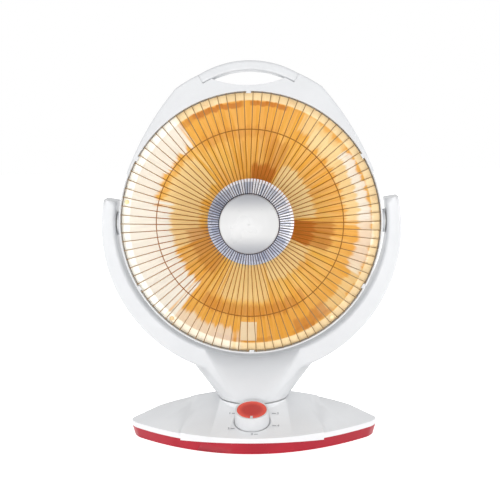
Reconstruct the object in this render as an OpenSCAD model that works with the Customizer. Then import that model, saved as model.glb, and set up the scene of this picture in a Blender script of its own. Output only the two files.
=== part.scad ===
// Parabolic heater: a tilting dish head in an oscillating yoke on a lens-shaped base.
// Millimetres, +Z up, front towards -Y, origin under the middle of the base on the floor.

/* [Base] */
// Length of the base from end to end
base_w = 315; // [285:1:345]
// Depth of the base at its middle
base_d = 172; // [160:1:200]
// Height of the top of the cover's rim above the floor
rim_top_z = 22; // [20:0.5:28]
// Height of the crest of the cover above the floor
crest_z = 50; // [44:1:60]
// Height of the joint between tray and cover, on the wings
parting_z = 15.5; // [15:0.5:17]
// Wall of the base mouldings
base_wall = 2.5; // [2:0.1:3.5]
// Height of the rubber feet below the tray
foot_h = 2; // [1.5:0.1:3]
// Radius of a rubber foot
foot_r = 8; // [6:0.5:10]
// Amount by which the middle of the cover stands proud of its wings
panel_raise = 1; // [0.6:0.1:2]
// Half width of the raised middle at the front edge
panel_half_w = 91; // [80:1:100]
// Rise of the front lip's lower edge towards its middle
lip_rise = 3.8; // [2:0.1:4.5]
// Slope inwards of the tray wall towards the floor
tray_draft = 4; // [1:0.5:6]

/* [Swivel] */
// Distance of the swivel axis behind the middle of the base
neck_y = 16; // [8:1:24]
// Radius of the hollow swivel spindle
spindle_r = 14; // [12:0.5:16]
// Radius of the cable way through the spindle
cable_way_r = 10; // [7:0.5:11]
// Running clearance of shafts in their bores
running_gap = 0.06; // [0.02:0.01:0.1]
// Gap between faces that move past each other
face_gap = 0.3; // [0.2:0.05:0.5]
// Distance from the swivel axis to the motor shaft
crank_offset = 32; // [30:0.5:36]
// Throw of the crank pin
crank_throw = 20.25; // [18:0.25:22]
// Radius of the crank pin
crank_pin_r = 2; // [1.5:0.1:2.5]
// Extra room on each side of the crank pin in the lever's slot
slot_room = 1.7; // [1.5:0.1:2.5]

/* [Yoke] */
// Height of the neck between its foot and the arms
neck_h = 28.1; // [24:0.1:50]
// Gap between the head's rim and the arms
yoke_gap = 6; // [5:0.5:10]
// Thickness of the yoke's arms from inside to outside
yoke_t = 18.5; // [17:0.5:24]
// Amount by which the arms grow thicker towards the neck
yoke_sag = 8; // [2:0.5:10]
// Depth of the yoke's arms from front to back
yoke_d = 38; // [34:1:44]
// Rounding of the yoke's long edges
yoke_round = 4.5; // [2:0.5:6]
// Wall of the yoke mouldings
yoke_wall = 2.5; // [2:0.1:3.5]
// Angle by which each arm rises above the tilt axis
arm_rise = 9.7; // [8:0.1:12]
// Radius of the round foot of the neck
neck_foot_r = 45; // [42:1:50]
// Half width of the neck where it leaves the arms
neck_top_half_w = 88; // [80:1:96]
// Half width of the flat front face at the top of the neck
neck_face_half_w = 60; // [50:1:70]
// Angle by which the head leans back when it is level
rest_tilt = 3.5; // [0:0.5:6]
// Radius of the tilt pins
pivot_r = 5; // [4:0.5:6]

/* [Head] */
// Outer radius of the head's rim
rim_r = 165; // [140:1:200]
// Thickness of the lip outside the guard
lip_t = 2; // [1.5:0.1:2.5]
// Wall of the head mouldings
head_wall = 2.4; // [2:0.1:3]
// Distance of the dish's flange in front of the tilt axis
flange_z = 20; // [19:0.5:21]
// Width of the flat flange round the dish
flange_w = 11.5; // [8:0.5:14]
// Depth of the dish
dish_depth = 70; // [60:1:72]
// Sheet thickness of the dish
dish_t = 0.8; // [0.6:0.1:1.2]
// Room for the element's holder between the dish and the shell
shell_gap = 19.5; // [18:0.5:24]
// Power of the curve of the shell's back
shell_power = 2.4; // [2:0.1:3]
// Number of vent slots in the shell's back
vent_n = 24; // [12:2:30]
// Radius of the large curves at the sides of the head's crown
crown_side_r = 350; // [320:5:380]
// Radius of the curve over the shoulders
crown_top_r = 155.6; // [150:0.2:160]
// Height of the shoulders' curve above the rim
crown_rise = 31.8; // [28:0.2:35]

/* [Handle] */
// Outer radius of the carrying handle
handle_r = 121.6; // [119:0.1:123]
// Height of the handle's top above the rim
handle_rise = 36; // [33:0.2:39]
// Thickness of the grip
grip_t = 12.4; // [11:0.1:13]
// Depth of the grip from front to back
grip_d = 24; // [23.5:0.5:25.5]
// Angle from the top to each end of the grip
grip_half_angle = 31; // [29:0.5:32]
// Radius of the lower edge of the hand slot
slot_low_r = 128; // [120:1:140]
// Height of the bottom of the hand slot above the rim
slot_rise = 5.5; // [4:0.5:7]

/* [Guard] */
// Number of radial wires
wire_n = 90; // [60:1:96]
// Radius of a radial wire's section
wire_r = 0.65; // [0.5:0.05:1]
// Radius of the outer ring's section
ring_wire_r = 1.1; // [0.9:0.05:1.6]
// Section radius of the thin inner rings
thin_wire_r = 0.8; // [0.6:0.05:1.1]
// Height of the guard's dome above its ring
dome_h = 42; // [30:1:50]
// Radius of the middle ring
mid_ring_r = 118; // [100:1:125]
// Radius of the inner ring
inner_ring_r = 50; // [44:1:60]
// Radius of the cap in the middle of the guard
cap_r = 36; // [34:0.5:42]

/* [Element] */
// Outer radius of the silver deflector
deflector_r = 57; // [50:0.5:60]
// Radius of the ceramic core
core_r = 15; // [12:0.5:18]
// Length of the ceramic core
core_l = 62; // [50:1:66]
// Number of turns of the heating coil
coil_turns = 10; // [6:1:20]
// Radius of the coiled wire's section
coil_wire_r = 1.6; // [1.2:0.1:2]

/* [Controls] */
// Gap between the seat of the neck and the knob
knob_gap = 0.3; // [0.3:0.1:3]
// Radius of the knob at its foot
knob_r = 21.5; // [18:0.5:24]
// Height of the knob above the panel
knob_h = 17; // [14:0.5:20]
// Radius of the switch shaft
shaft_r = 3; // [2.5:0.25:4]
// Travel of the tip-over plunger
plunger_travel = 5; // [3:0.5:6]
// Bore of the cord gland
gland_bore_r = 3.6; // [3:0.1:4]

/* [Hidden] */
$fn = 64;
eps = 0.01;

// Base plan: front and back edges are parabolas, the ends are rounded over end_round.
end_half = 9.5;
edge_curve = pow(base_w / 2, 2) / (base_d / 2 - end_half);
end_round = 9;
plan_steps = 24;
tray_z = foot_h;
tray_floor_t = 2.5;
floor_top = tray_z + tray_floor_t;
lip_drop = 2.2;
lip_mid_z = parting_z - lip_drop + lip_rise;
lip_arch_r = pow(panel_half_w, 2) / (2 * lip_rise) + lip_rise / 2;
lip_arch_y = -40;
panel_waist = 82;
crest_front_y = 2;
crest_back_y = 34;
crest_reach = base_w / 2 - 12;
crest_curve = pow(crest_reach, 2) / (crest_z - rim_top_z - 0.6);
crest_steps = 10;
crest_inset = 3;
cover_drop = 1.8;
proud = 0.6;
feet_xy = [[-112, 0], [112, 0], [-45, -60], [45, -60], [-45, 60], [45, 60]];
base_screw_xy = [[-98, -22], [98, -22], [-98, 22], [98, 22]];
base_boss_r = 4.5;
screw_r = 1.7;
screw_gap = 0.15;
thread_gap = 0.05;
seat_gap = 0.05;
screw_head_r = 3.2;
screw_head_h = 2;

// Knob frame: its origin lies on the sloping panel.
panel_angle = atan((crest_z - rim_top_z) / (crest_front_y + base_d / 2));
boss_r = neck_foot_r + 1;
knob_y = neck_y - boss_r - knob_r - knob_gap;
knob_z = rim_top_z + panel_raise + (base_d / 2 + proud + knob_y) * tan(panel_angle);
knob_recess = 1;
knob_recess_r = knob_r + 1.8;
knob_top_r = knob_r - 1;
switch_size = 30;
switch_h = 17;
panel_t = (proud + base_wall) * sin(panel_angle) + (panel_raise + cover_drop) * cos(panel_angle);
switch_top = 0.5 - panel_t;
switch_screw_x = 11;
bushing_r = shaft_r + 1.6;

// Swivel stack, from the boss of the cover down to the retainer.
boss_top_z = crest_z - 2;
collar_low_z = 34;
washer_t = 1.1;
foot_z = boss_top_z + washer_t + face_gap;
foot_floor_t = 4;
spindle_flange_r = spindle_r + 10;
spindle_screw_r = spindle_r + 5.2;
spindle_flange_t = 3;
spindle_low_z = 24.6;
lever_top_z = collar_low_z - face_gap;
lever_t = 3;
lever_low_z = 28;
lever_hub_r = spindle_r + 5.5;
retainer_t = 1.4;
motor_r = 24.5;
motor_low_z = floor_top + 1.5;
motor_h = 14;
motor_x = -crank_offset;
crank_low_z = motor_low_z + motor_h + 1.6;
crank_t = 3;
lever_slot_near = 28;
lever_slot_far = crank_offset + crank_throw + slot_room;
lever_slot_r = crank_pin_r + slot_room;

// Tip-over switch at the right of the swivel.
tip_x = 62;
plunger_r = 3;
plunger_flange_r = 5;
guide_top_z = 9;
plunger_top_z = guide_top_z + plunger_travel + 2;

// Cord gland in the back wall, on the parting line.
gland_z = parting_z - lip_drop;
gland_neck_r = gland_bore_r + 2.4;
gland_flange_r = gland_neck_r + 2;
gland_flange_t = 2;
gland_pad = 4;
gland_l = 17;

// Yoke.
yoke_in_r = rim_r + yoke_gap;
yoke_out_r = yoke_in_r + yoke_t;
yoke_far_r = yoke_out_r + yoke_sag + 15;
head_z = foot_z + neck_h + yoke_sag + yoke_out_r;
neck_bar_z = head_z - yoke_out_r + 20;
yoke_screw_angles = [-64, -34, 34, 64];
neck_screw_x = 27;
neck_screw_y = foot_z + 22.6 - head_z;
boss_small_r = 4.4;
screw_sink = 6;
hub_r = 12;
hub_h = 4.5;

// Head, in its own frame: X right, Y up, Z towards the front, origin on the tilt axis.
split_z = flange_z - 4.2;
ledge_t = 3;
lip_front = flange_z + 8;
lip_in_r = rim_r - lip_t;
dish_r = lip_in_r - flange_w;
ledge_in_r = dish_r + 2.5;
shell_back = dish_depth - flange_z + shell_gap;
dish_back = flange_z - dish_depth;
shell_rim_z = 8;
crown_side_out = 12.5;
crown_x = crown_side_r - rim_r - crown_side_out;
crown_y = -63;
crown_top_y = rim_r + crown_rise - crown_top_r;
crown_low_y = 60;
handle_y = rim_r + handle_rise - handle_r;
slot_low_y = rim_r + slot_rise + slot_low_r;
grip_in_r = handle_r - grip_t;
grip_sink = 0.3;
crown_back = 0;
room_gap = 0.15;
handle_screw_angle = 27.5;
handle_screw_z = 7.5;
pivot_boss_r = 15;
pivot_boss_in = rim_r - 25;
pivot_washer_t = 1.1;
pivot_washer_r = 11;
pivot_boss_x = sqrt(pow(yoke_in_r, 2) - pow(pivot_washer_r, 2)) - face_gap - pivot_washer_t;
pivot_head_r = 9;
pivot_way_r = 2.4;
pivot_in = rim_r - 14;
dish_room = 2.5;
shell_screw_r = rim_r - 7.5;
shell_screw_angles = [40, 140, 220, 320];
reflector_screw_angles = [10, 70, 110, 170, 230, 310];

// Guard dome: a sphere through the outer ring and the crown of the dome.
guard_ring_r = lip_in_r - ring_wire_r - 0.2;
hook_t = 1;
hook_sink = 0.2;
guard_ring_z = lip_front - hook_sink - hook_t - 0.2 - ring_wire_r;
hook_w = 6;
hook_in_r = lip_in_r - 2.6;
hook_n = 6;
// Each hook stands midway between two wires.
function hook_angle(i) = 360 * (floor(wire_n * (i + 0.5) / hook_n) + 0.5) / wire_n;
weld = 0.3;
dome_edge_z = guard_ring_z + ring_wire_r + wire_r - weld;
dome_r = (pow(guard_ring_r, 2) + pow(dome_h, 2)) / (2 * dome_h);
dome_c = dome_edge_z + dome_h - dome_r;
wire_in_r = 30;
end_ring_r = 31.5;
function dome_z(r) = dome_c + sqrt(dome_r * dome_r - r * r);
function dish_z(r) = dish_back + dish_depth * pow(r / dish_r, 2);
cap_low_z = dome_z(cap_r) + wire_r + 0.3;
clamp_top_z = dome_z(end_ring_r) - wire_r - 2 * thin_wire_r + weld - 0.2;
clamp_t = 1.2;
clamp_r = 35;
cap_boss_r = 5;

// Element.
holder_flange_r = 28;
holder_r = 22;
holder_back = dish_back - 10;
core_back = dish_back + 8;
core_front = core_back + core_l;
clip_t = 1.2;
clip_z = dish_back - 3.4;
coil_r = core_r + coil_wire_r + 0.45;
coil_back = core_back + 7;
coil_front = core_front - 7;

function arc_points(cx, cy, r, a0, a1, n) =
    [for (i = [0:n]) let (a = a0 + (a1 - a0) * i / n) [cx + r * cos(a), cy + r * sin(a)]];

function rounded_rect(x0, y0, x1, y1, r, n = 4) = concat(
    arc_points(x1 - r, y0 + r, r, -90, 0, n),
    arc_points(x1 - r, y1 - r, r, 0, 90, n),
    arc_points(x0 + r, y1 - r, r, 90, 180, n),
    arc_points(x0 + r, y0 + r, r, 180, 270, n)
);

// Half depth of the base plan at a distance x from the middle, for a plan drawn in by inset.
function plan_half(x, inset) = let (
    half_w = base_w / 2 - inset,
    past = max(0, abs(x) - (half_w - end_round)) / end_round
) (base_d / 2 - inset - x * x / edge_curve) * sqrt(max(0, 1 - past * past));

function plan_x(i, inset) = (base_w / 2 - inset) * sin(90 * i / plan_steps);

function plan_points(inset) = concat(
    [for (i = [-plan_steps:plan_steps - 1]) let (x = plan_x(i, inset)) [x, -plan_half(x, inset)]],
    [for (i = [plan_steps:-1:1 - plan_steps]) let (x = plan_x(i, inset)) [x, plan_half(x, inset)]]
);

module plan(inset = 0) {
    polygon(plan_points(inset));
}

module panel_zone() {
    front = base_d / 2 + 10;
    polygon([
        [-panel_half_w, -front], [panel_half_w, -front], [panel_waist, neck_y],
        [panel_half_w, front], [-panel_half_w, front], [-panel_waist, neck_y]
    ]);
}

// The cover's outer form: ruled from the rim of the base up to an arched crest.
module cover_form(low, inset, raise) {
    reach = crest_reach - inset;
    top = rim_top_z + raise;
    n = crest_steps;
    hull() {
        translate([0, 0, low]) linear_extrude(top - low) plan(inset);
        intersection() {
            linear_extrude(2 * crest_z) plan(inset + crest_inset);
            translate([0, crest_back_y - inset, 0]) rotate([90, 0, 0])
                linear_extrude(crest_back_y - crest_front_y - 2 * inset)
                    polygon(concat(
                        [for (i = [-n:n]) let (x = reach * i / n)
                            [x, crest_z + raise - x * x / crest_curve]],
                        [[reach, top - 1], [-reach, top - 1]]
                    ));
        }
    }
}

// The arch under the front lip, grown by grow.
module lip_arch(grow) {
    intersection() {
        translate([0, lip_arch_y, lip_mid_z - lip_arch_r]) rotate([90, 0, 0])
            cylinder(r = lip_arch_r + grow, h = base_d, $fn = 360);
        linear_extrude(2 * lip_mid_z) panel_zone();
    }
}

module on_panel() {
    translate([0, knob_y, knob_z]) rotate([panel_angle, 0, 0]) children();
}

module at_neck() {
    translate([0, neck_y, 0]) children();
}

module on_axis() {
    translate([0, neck_y, head_z]) rotate([90, 0, 0]) children();
}

module on_head() {
    translate([0, neck_y, head_z]) rotate([90 - rest_tilt, 0, 0]) children();
}

module at_each(points) {
    for (p = points) translate([p[0], p[1], 0]) children();
}

// A tube along Z.
module tube(r_out, r_in, h) {
    difference() {
        cylinder(r = r_out, h = h);
        translate([0, 0, -1]) cylinder(r = r_in, h = h + 2);
    }
}

// A screw along +Z: its head's top is at zero and its shank runs to -length.
module screw(length, r = screw_r, head_r = screw_head_r, head_h = screw_head_h) {
    translate([0, 0, -head_h]) cylinder(r = head_r, h = head_h);
    translate([0, 0, -length]) cylinder(r = r, h = length - head_h + eps);
}

// ---------- base ----------

module base_tray() {
    color("crimson") difference() {
        union() {
            difference() {
                hull() {
                    translate([0, 0, tray_z]) linear_extrude(0.5) plan(tray_draft);
                    translate([0, 0, parting_z - 0.5]) linear_extrude(lip_rise + 1) plan();
                }
                hull() {
                    translate([0, 0, floor_top]) linear_extrude(0.5) plan(tray_draft + base_wall);
                    translate([0, 0, parting_z]) linear_extrude(lip_rise + 2) plan(base_wall);
                }
            }
            at_each(base_screw_xy) translate([0, 0, floor_top - eps])
                cylinder(r = base_boss_r + 1.5, h = 2.5);
            translate([tip_x, neck_y, floor_top - eps])
                cylinder(r = plunger_r + 3, h = guide_top_z - floor_top);
            at_each([[motor_x, neck_y - motor_r - 5], [motor_x, neck_y + motor_r + 5]])
                translate([0, 0, floor_top - eps]) cylinder(r = 4, h = motor_low_z + 2 - floor_top);
            gland_pad_form();
        }
        difference() {
            union() {
                translate([0, 0, parting_z - lip_drop]) linear_extrude(10) panel_zone();
                translate([0, 0, parting_z]) linear_extrude(10) plan(-10);
            }
            lip_arch(0);
        }
        at_each(base_screw_xy) translate([0, 0, tray_z - 1]) cylinder(r = screw_r + screw_gap, h = 12);
        at_each(base_screw_xy) translate([0, 0, tray_z - 1]) cylinder(r = screw_head_r + 0.4, h = 3.4);
        translate([tip_x, neck_y, tray_z - 1]) cylinder(r = plunger_r + face_gap, h = 12);
        at_each([[motor_x, neck_y - motor_r - 5], [motor_x, neck_y + motor_r + 5]])
            translate([0, 0, floor_top]) cylinder(r = screw_r + screw_gap, h = 12);
        gland_hole();
    }
}

// Seen from outside, with +Z of its own pointing into the base from the outermost face.
module at_gland() {
    translate([0, base_d / 2 + proud, gland_z]) rotate([90, 0, 0]) children();
}

module gland_hole() {
    at_gland() translate([0, 0, -1]) cylinder(r = gland_neck_r + 0.1, h = 20);
    at_gland() translate([0, 0, -1]) cylinder(r = gland_flange_r + 0.3, h = gland_flange_t + 1);
}

module gland_pad_form() {
    at_gland() translate([0, 0, gland_flange_t])
        cylinder(r = gland_flange_r + 2, h = base_wall + gland_pad - 1.4);
}

module base_cover() {
    color("white") difference() {
        union() {
            difference() {
                union() {
                    cover_form(parting_z, 0, 0);
                    intersection() {
                        cover_form(parting_z - lip_drop + eps, -proud, panel_raise);
                        linear_extrude(100) panel_zone();
                    }
                }
                cover_form(0, base_wall, -cover_drop);
            }
            intersection() {
                gland_pad_form();
                translate([-30, 0, parting_z - lip_drop + eps]) cube([60, 200, 40]);
            }
            intersection() {
                cover_form(5, 1, -1);
                union() {
                    at_each(base_screw_xy) translate([0, 0, floor_top + 2.6])
                        cylinder(r = base_boss_r, h = 60);
                    at_neck() translate([0, 0, collar_low_z]) cylinder(r = spindle_r + 6, h = 20);
                }
            }
            at_neck() translate([0, 0, boss_top_z - 10]) cylinder(r1 = boss_r + 1, r2 = boss_r, h = 10);
        }
        lip_arch(seat_gap);
        at_neck() cylinder(r = spindle_r + running_gap, h = 100);
        at_neck() translate([0, 0, boss_top_z]) cylinder(r = boss_r + 6, h = 20);
        at_neck() translate([0, 0, boss_top_z - 12]) tube(boss_r - 4, spindle_r + 6, 12 - 3.2);
        at_each(base_screw_xy) cylinder(r = screw_r + thread_gap, h = 18.6);
        on_panel() translate([0, 0, -knob_recess]) cylinder(r = knob_recess_r, h = knob_recess + 1);
        on_panel() translate([0, 0, -10]) cylinder(r = bushing_r + 0.3, h = 20);
        on_panel() for (x = [-switch_screw_x, switch_screw_x]) translate([x, 0, -10]) {
            cylinder(r = screw_r + screw_gap, h = 20);
            translate([0, 0, 10 - knob_recess - 1.5]) cylinder(r = screw_head_r + 0.2, h = 5);
        }
        on_panel() translate([-switch_size / 2 - 1, -switch_size / 2 - 1, switch_top - 20])
            cube([switch_size + 2, switch_size + 2, 20]);
        gland_hole();
    }
}

module base_feet() {
    color("dimgray") at_each(feet_xy) cylinder(r1 = foot_r - 0.8, r2 = foot_r, h = foot_h);
}

// Cast weights, one in each wing, cleared round the screw bosses.
module base_weights() {
    color("gray") for (side = [-1, 1]) difference() {
        intersection() {
            translate([0, 0, floor_top]) linear_extrude(9) plan(tray_draft + base_wall + 3);
            translate([side * 106 - 23, -60, 0]) cube([46, 120, 30]);
        }
        at_each(base_screw_xy) cylinder(r = base_boss_r + 2.5, h = 30);
    }
}

module base_screws() {
    color("silver") at_each(base_screw_xy) translate([0, 0, tray_z + 0.4 - seat_gap])
        mirror([0, 0, 1]) screw(16);
}

module swing_motor() {
    ear_y = motor_r + 5;
    color("silver") translate([motor_x, neck_y, motor_low_z]) difference() {
        union() {
            cylinder(r = motor_r, h = motor_h);
            translate([0, 0, motor_h - eps]) cylinder(r = 6, h = 1);
            translate([-4.5, -ear_y, 2]) cube([9, 2 * ear_y, 1.2]);
            for (s = [-1, 1]) translate([0, s * ear_y, 2]) cylinder(r = 4.5, h = 1.2);
        }
        for (s = [-1, 1]) translate([0, s * ear_y, 0]) cylinder(r = screw_r + screw_gap, h = 10);
        translate([0, 0, motor_h - 6]) cylinder(r = shaft_r + running_gap, h = 10);
    }
}

module motor_screws() {
    color("silver") for (s = [-1, 1])
        translate([motor_x, neck_y + s * (motor_r + 5), motor_low_z + 5.2 + seat_gap])
        screw(6);
}

module rotary_switch() {
    color("dimgray") on_panel() difference() {
        union() {
            translate([-switch_size / 2, -switch_size / 2, switch_top - switch_h])
                cube([switch_size, switch_size, switch_h]);
            translate([0, 0, switch_top - eps]) cylinder(r = bushing_r, h = -switch_top);
        }
        translate([0, 0, -30]) cylinder(r = shaft_r + running_gap, h = 40);
        for (x = [-switch_screw_x, switch_screw_x]) translate([x, 0, switch_top - 9])
            cylinder(r = screw_r + thread_gap, h = 20);
    }
}

module switch_screws() {
    color("silver") on_panel() for (x = [-switch_screw_x, switch_screw_x])
        translate([x, 0, seat_gap - knob_recess])
        screw(9, head_h = 1.5);
}

module tipover_switch() {
    body_low = plunger_top_z + face_gap;
    color("dimgray") translate([tip_x, neck_y, 0]) {
        translate([-10, -3, body_low]) cube([20, 6, 10]);
        for (s = [-1, 1]) translate([s * 12.5 - 2, -4, floor_top]) cube([4, 8, body_low + 10 - floor_top]);
        for (s = [-1, 1]) translate([s * 11 - 1.5, -3, body_low + 2]) cube([3, 6, 6]);
    }
}

module terminal_block() {
    color("ivory") translate([28, 40, floor_top]) difference() {
        cube([36, 14, 12]);
        for (i = [0:2]) translate([6 + 12 * i, -1, 5]) rotate([-90, 0, 0]) cylinder(r = 2, h = 16);
        for (i = [0:2]) translate([6 + 12 * i, 7, 8]) cylinder(r = 2.2, h = 6);
    }
}

module cord_gland() {
    nut_z = gland_flange_t + base_wall + gland_pad - 1.4 + seat_gap;
    color("dimgray") at_gland() difference() {
        union() {
            cylinder(r1 = gland_flange_r - 0.8, r2 = gland_flange_r, h = gland_flange_t - seat_gap);
            cylinder(r = gland_neck_r, h = gland_l);
            translate([0, 0, nut_z]) cylinder(r = gland_flange_r, h = 3);
        }
        translate([0, 0, -1]) cylinder(r = gland_bore_r, h = gland_l + 2);
    }
}

module swivel_washer() {
    color("ivory") at_neck() translate([0, 0, boss_top_z]) tube(neck_foot_r - 4, spindle_r + 2, washer_t);
}

// ---------- oscillating drive ----------

module crank() {
    color("gold") translate([motor_x, neck_y, 0]) {
        translate([0, 0, motor_low_z + motor_h - 5])
            cylinder(r = shaft_r, h = crank_low_z + eps - motor_low_z - motor_h + 5);
        translate([0, 0, crank_low_z]) difference() {
            union() {
                cylinder(r = 6.5, h = crank_t);
                translate([-crank_throw, -4, 0]) cube([crank_throw, 8, crank_t]);
                translate([-crank_throw, 0, 0]) cylinder(r = 4, h = crank_t);
            }
            translate([0, 0, crank_t - 1]) cylinder(r = 2, h = 2);
        }
        translate([-crank_throw, 0, crank_low_z + crank_t - eps])
            cylinder(r = crank_pin_r, h = lever_low_z + lever_t + 1 - crank_low_z - crank_t);
    }
}

module swivel_lever() {
    color("silver") at_neck() difference() {
        union() {
            translate([0, 0, lever_low_z]) cylinder(r = lever_hub_r, h = lever_top_z - lever_low_z);
            translate([-lever_slot_far, -lever_slot_r - 3, lever_low_z])
                cube([lever_slot_far, 2 * lever_slot_r + 6, lever_t]);
            translate([-lever_slot_far, 0, lever_low_z]) cylinder(r = lever_slot_r + 3, h = lever_t);
        }
        translate([0, 0, lever_low_z - 1]) cylinder(r = spindle_r + 0.02, h = 20);
        translate([-lever_slot_far, -lever_slot_r, lever_low_z - 1])
            cube([lever_slot_far - lever_slot_near, 2 * lever_slot_r, 10]);
        for (x = [-lever_slot_far, -lever_slot_near])
            translate([x, 0, lever_low_z - 1]) cylinder(r = lever_slot_r, h = 10);
    }
}

module swivel_spindle() {
    color("silver") at_neck() difference() {
        union() {
            translate([0, 0, spindle_low_z])
                cylinder(r = spindle_r, h = foot_z + foot_floor_t + 1 - spindle_low_z);
            translate([0, 0, foot_z + foot_floor_t]) cylinder(r = spindle_flange_r, h = spindle_flange_t);
        }
        cylinder(r = cable_way_r, h = 100);
        translate([0, 0, lever_low_z - retainer_t - 0.1])
            tube(spindle_r + 5, spindle_r - 1.2, retainer_t + 0.1);
        at_spindle_screws() cylinder(r = screw_r + screw_gap, h = 100);
    }
}

module at_spindle_screws() {
    for (a = [90, 210, 330]) rotate([0, 0, a]) translate([spindle_screw_r, 0, 0]) children();
}

module spindle_screws() {
    top = foot_z + foot_floor_t + spindle_flange_t + 2 + seat_gap;
    color("silver") at_neck() at_spindle_screws() translate([0, 0, top])
        screw(2 + spindle_flange_t + foot_floor_t - 0.6);
}

module retainer_ring() {
    color("dimgray") at_neck() translate([0, 0, lever_low_z - retainer_t - 0.05]) difference() {
        tube(spindle_r + 3, spindle_r - 1.1, retainer_t);
        translate([0, -5, -1]) cube([40, 10, 5]);
    }
}

// ---------- knob ----------

module knob() {
    cap_r_in = knob_top_r - 2;
    color("white") on_panel() difference() {
        union() {
            difference() {
                translate([0, 0, face_gap - knob_recess])
                    cylinder(r1 = knob_r, r2 = knob_top_r, h = knob_h + knob_recess - face_gap);
                translate([0, 0, -5]) cylinder(r = knob_top_r - 2.2, h = 5 + knob_h - 3.6);
            }
            translate([0, 0, 2.5]) cylinder(r = shaft_r + 2.5, h = knob_h - 5);
        }
        difference() {
            translate([0, 0, knob_h - 1.3]) cylinder(r = cap_r_in, h = 5);
            translate([-1.5, -cap_r_in - 1, knob_h - 2]) cube([3, 6, 2]);
        }
        translate([0, 0, -1]) cylinder(r = shaft_r + 0.02, h = knob_h - 3);
    }
}

module knob_cap() {
    cap_r_in = knob_top_r - 2;
    color("crimson") on_panel() translate([0, 0, knob_h - 1.3]) difference() {
        cylinder(r = cap_r_in - 0.15, h = 0.9);
        translate([-1.65, -cap_r_in - 1, -1]) cube([3.3, 6.15, 5]);
    }
}

module switch_shaft() {
    low = switch_top - switch_h + 1;
    color("silver") on_panel() translate([0, 0, low]) cylinder(r = shaft_r, h = knob_h - 4.5 - low);
}

module tipover_plunger() {
    color("ivory") translate([tip_x, neck_y, 0]) {
        cylinder(r = plunger_flange_r, h = foot_h - face_gap);
        cylinder(r = plunger_r, h = plunger_top_z);
        translate([0, 0, plunger_top_z - 1.5]) cylinder(r = plunger_flange_r, h = 1.5);
    }
}

// ---------- yoke ----------

// The band of the two arms, drawn in by inset on every side. Its outer curve lies lower
// than its inner one.
module yoke_band(inset) {
    turn = arm_rise - asin(inset / yoke_in_r);
    half_d = yoke_d / 2 - inset;
    out_r = yoke_out_r - inset;
    round_r = yoke_round - inset * 0.6;
    intersection() {
        rotate([0, 0, 180 - turn]) rotate_extrude(angle = 180 + 2 * turn)
            polygon(rounded_rect(yoke_in_r + inset, -half_d, yoke_far_r, half_d, round_r));
        translate([0, -yoke_sag, 0]) rotate_extrude() polygon(concat(
            [[0, half_d], [0, -half_d]],
            arc_points(out_r - round_r, round_r - half_d, round_r, -90, 0, 4),
            arc_points(out_r - round_r, half_d - round_r, round_r, 0, 90, 4)
        ));
    }
}

// The neck, ruled from a six-sided top down to the round foot, drawn in by inset.
module neck_form(inset) {
    half_w = neck_top_half_w - inset;
    face = neck_face_half_w - inset;
    depth = yoke_d / 2 - inset;
    hull() {
        translate([0, neck_y, neck_bar_z]) linear_extrude(8)
            polygon([
                [-half_w, 0], [-face, -depth], [face, -depth], [half_w, 0], [face, depth], [-face, depth]
            ]);
        translate([0, neck_y, foot_z + (inset > 0 ? foot_floor_t : 0)])
            cylinder(r = neck_foot_r - inset, h = 2, $fn = 36);
    }
}

module yoke_shell() {
    difference() {
        union() {
            difference() {
                neck_form(0);
                on_axis() cylinder(r = yoke_in_r + 2, h = 200, center = true);
            }
            on_axis() yoke_band(0);
        }
        difference() {
            neck_form(yoke_wall);
            on_axis() cylinder(r = yoke_in_r + yoke_wall + 2, h = 200, center = true);
        }
        on_axis() yoke_band(yoke_wall);
        at_neck() cylinder(r = spindle_r + 0.1, h = foot_z + 20);
        at_neck() at_spindle_screws() translate([0, 0, foot_z + 0.4])
            cylinder(r = screw_r + thread_gap, h = 20);
    }
}

module at_arm_screws() {
    for (a = yoke_screw_angles) rotate([0, 0, a]) translate([0, -yoke_in_r - yoke_t / 2, 0]) children();
}

module at_neck_screws() {
    for (x = [-neck_screw_x, neck_screw_x]) translate([x, neck_screw_y, 0]) children();
}

module at_yoke_screws() {
    at_arm_screws() children();
    at_neck_screws() children();
}

// Solid posts of both halves, cut to the outer form; the halves trim them at their joint.
module yoke_posts() {
    on_axis() at_arm_screws() cylinder(r = boss_small_r, h = yoke_d - 3, center = true);
    intersection() {
        neck_form(1);
        on_axis() at_neck_screws() cylinder(r = boss_small_r, h = 100, center = true);
    }
    on_axis() for (s = [-1, 1]) translate([s * (yoke_in_r + 1), 0, 0]) rotate([0, s * 90, 0])
        cylinder(r = hub_r, h = yoke_wall + hub_h - 1);
}

module pivot_holes() {
    on_axis() for (s = [-1, 1]) translate([s * (yoke_in_r - 2), 0, 0]) rotate([0, s * 90, 0])
        cylinder(r = pivot_r + running_gap, h = yoke_wall + hub_h + 4);
}

module half_space(front) {
    translate([-300, front ? neck_y - 300 : neck_y, 0]) cube([600, 300, 600]);
}

module yoke_half(front) {
    intersection() {
        union() {
            yoke_shell();
            yoke_posts();
        }
        half_space(front);
    }
}

module yoke_front() {
    color("white") difference() {
        yoke_half(true);
        on_axis() at_yoke_screws() translate([0, 0, -1]) cylinder(r = screw_r + thread_gap, h = 14);
        pivot_holes();
    }
}

module yoke_back() {
    sink_z = screw_sink - yoke_d / 2;
    color("white") difference() {
        yoke_half(false);
        on_axis() at_yoke_screws() translate([0, 0, -60]) cylinder(r = screw_r + screw_gap, h = 80);
        on_axis() at_yoke_screws() translate([0, 0, sink_z - 60]) cylinder(r = screw_head_r - 0.2, h = 60);
        pivot_holes();
    }
}

module yoke_screws() {
    color("silver") on_axis() at_yoke_screws() translate([0, 0, screw_sink - yoke_d / 2 - 2 - seat_gap])
        mirror([0, 0, 1]) screw(yoke_d / 2 - screw_sink + 9, head_r = screw_head_r - 0.4);
}

// ---------- head ----------

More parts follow.
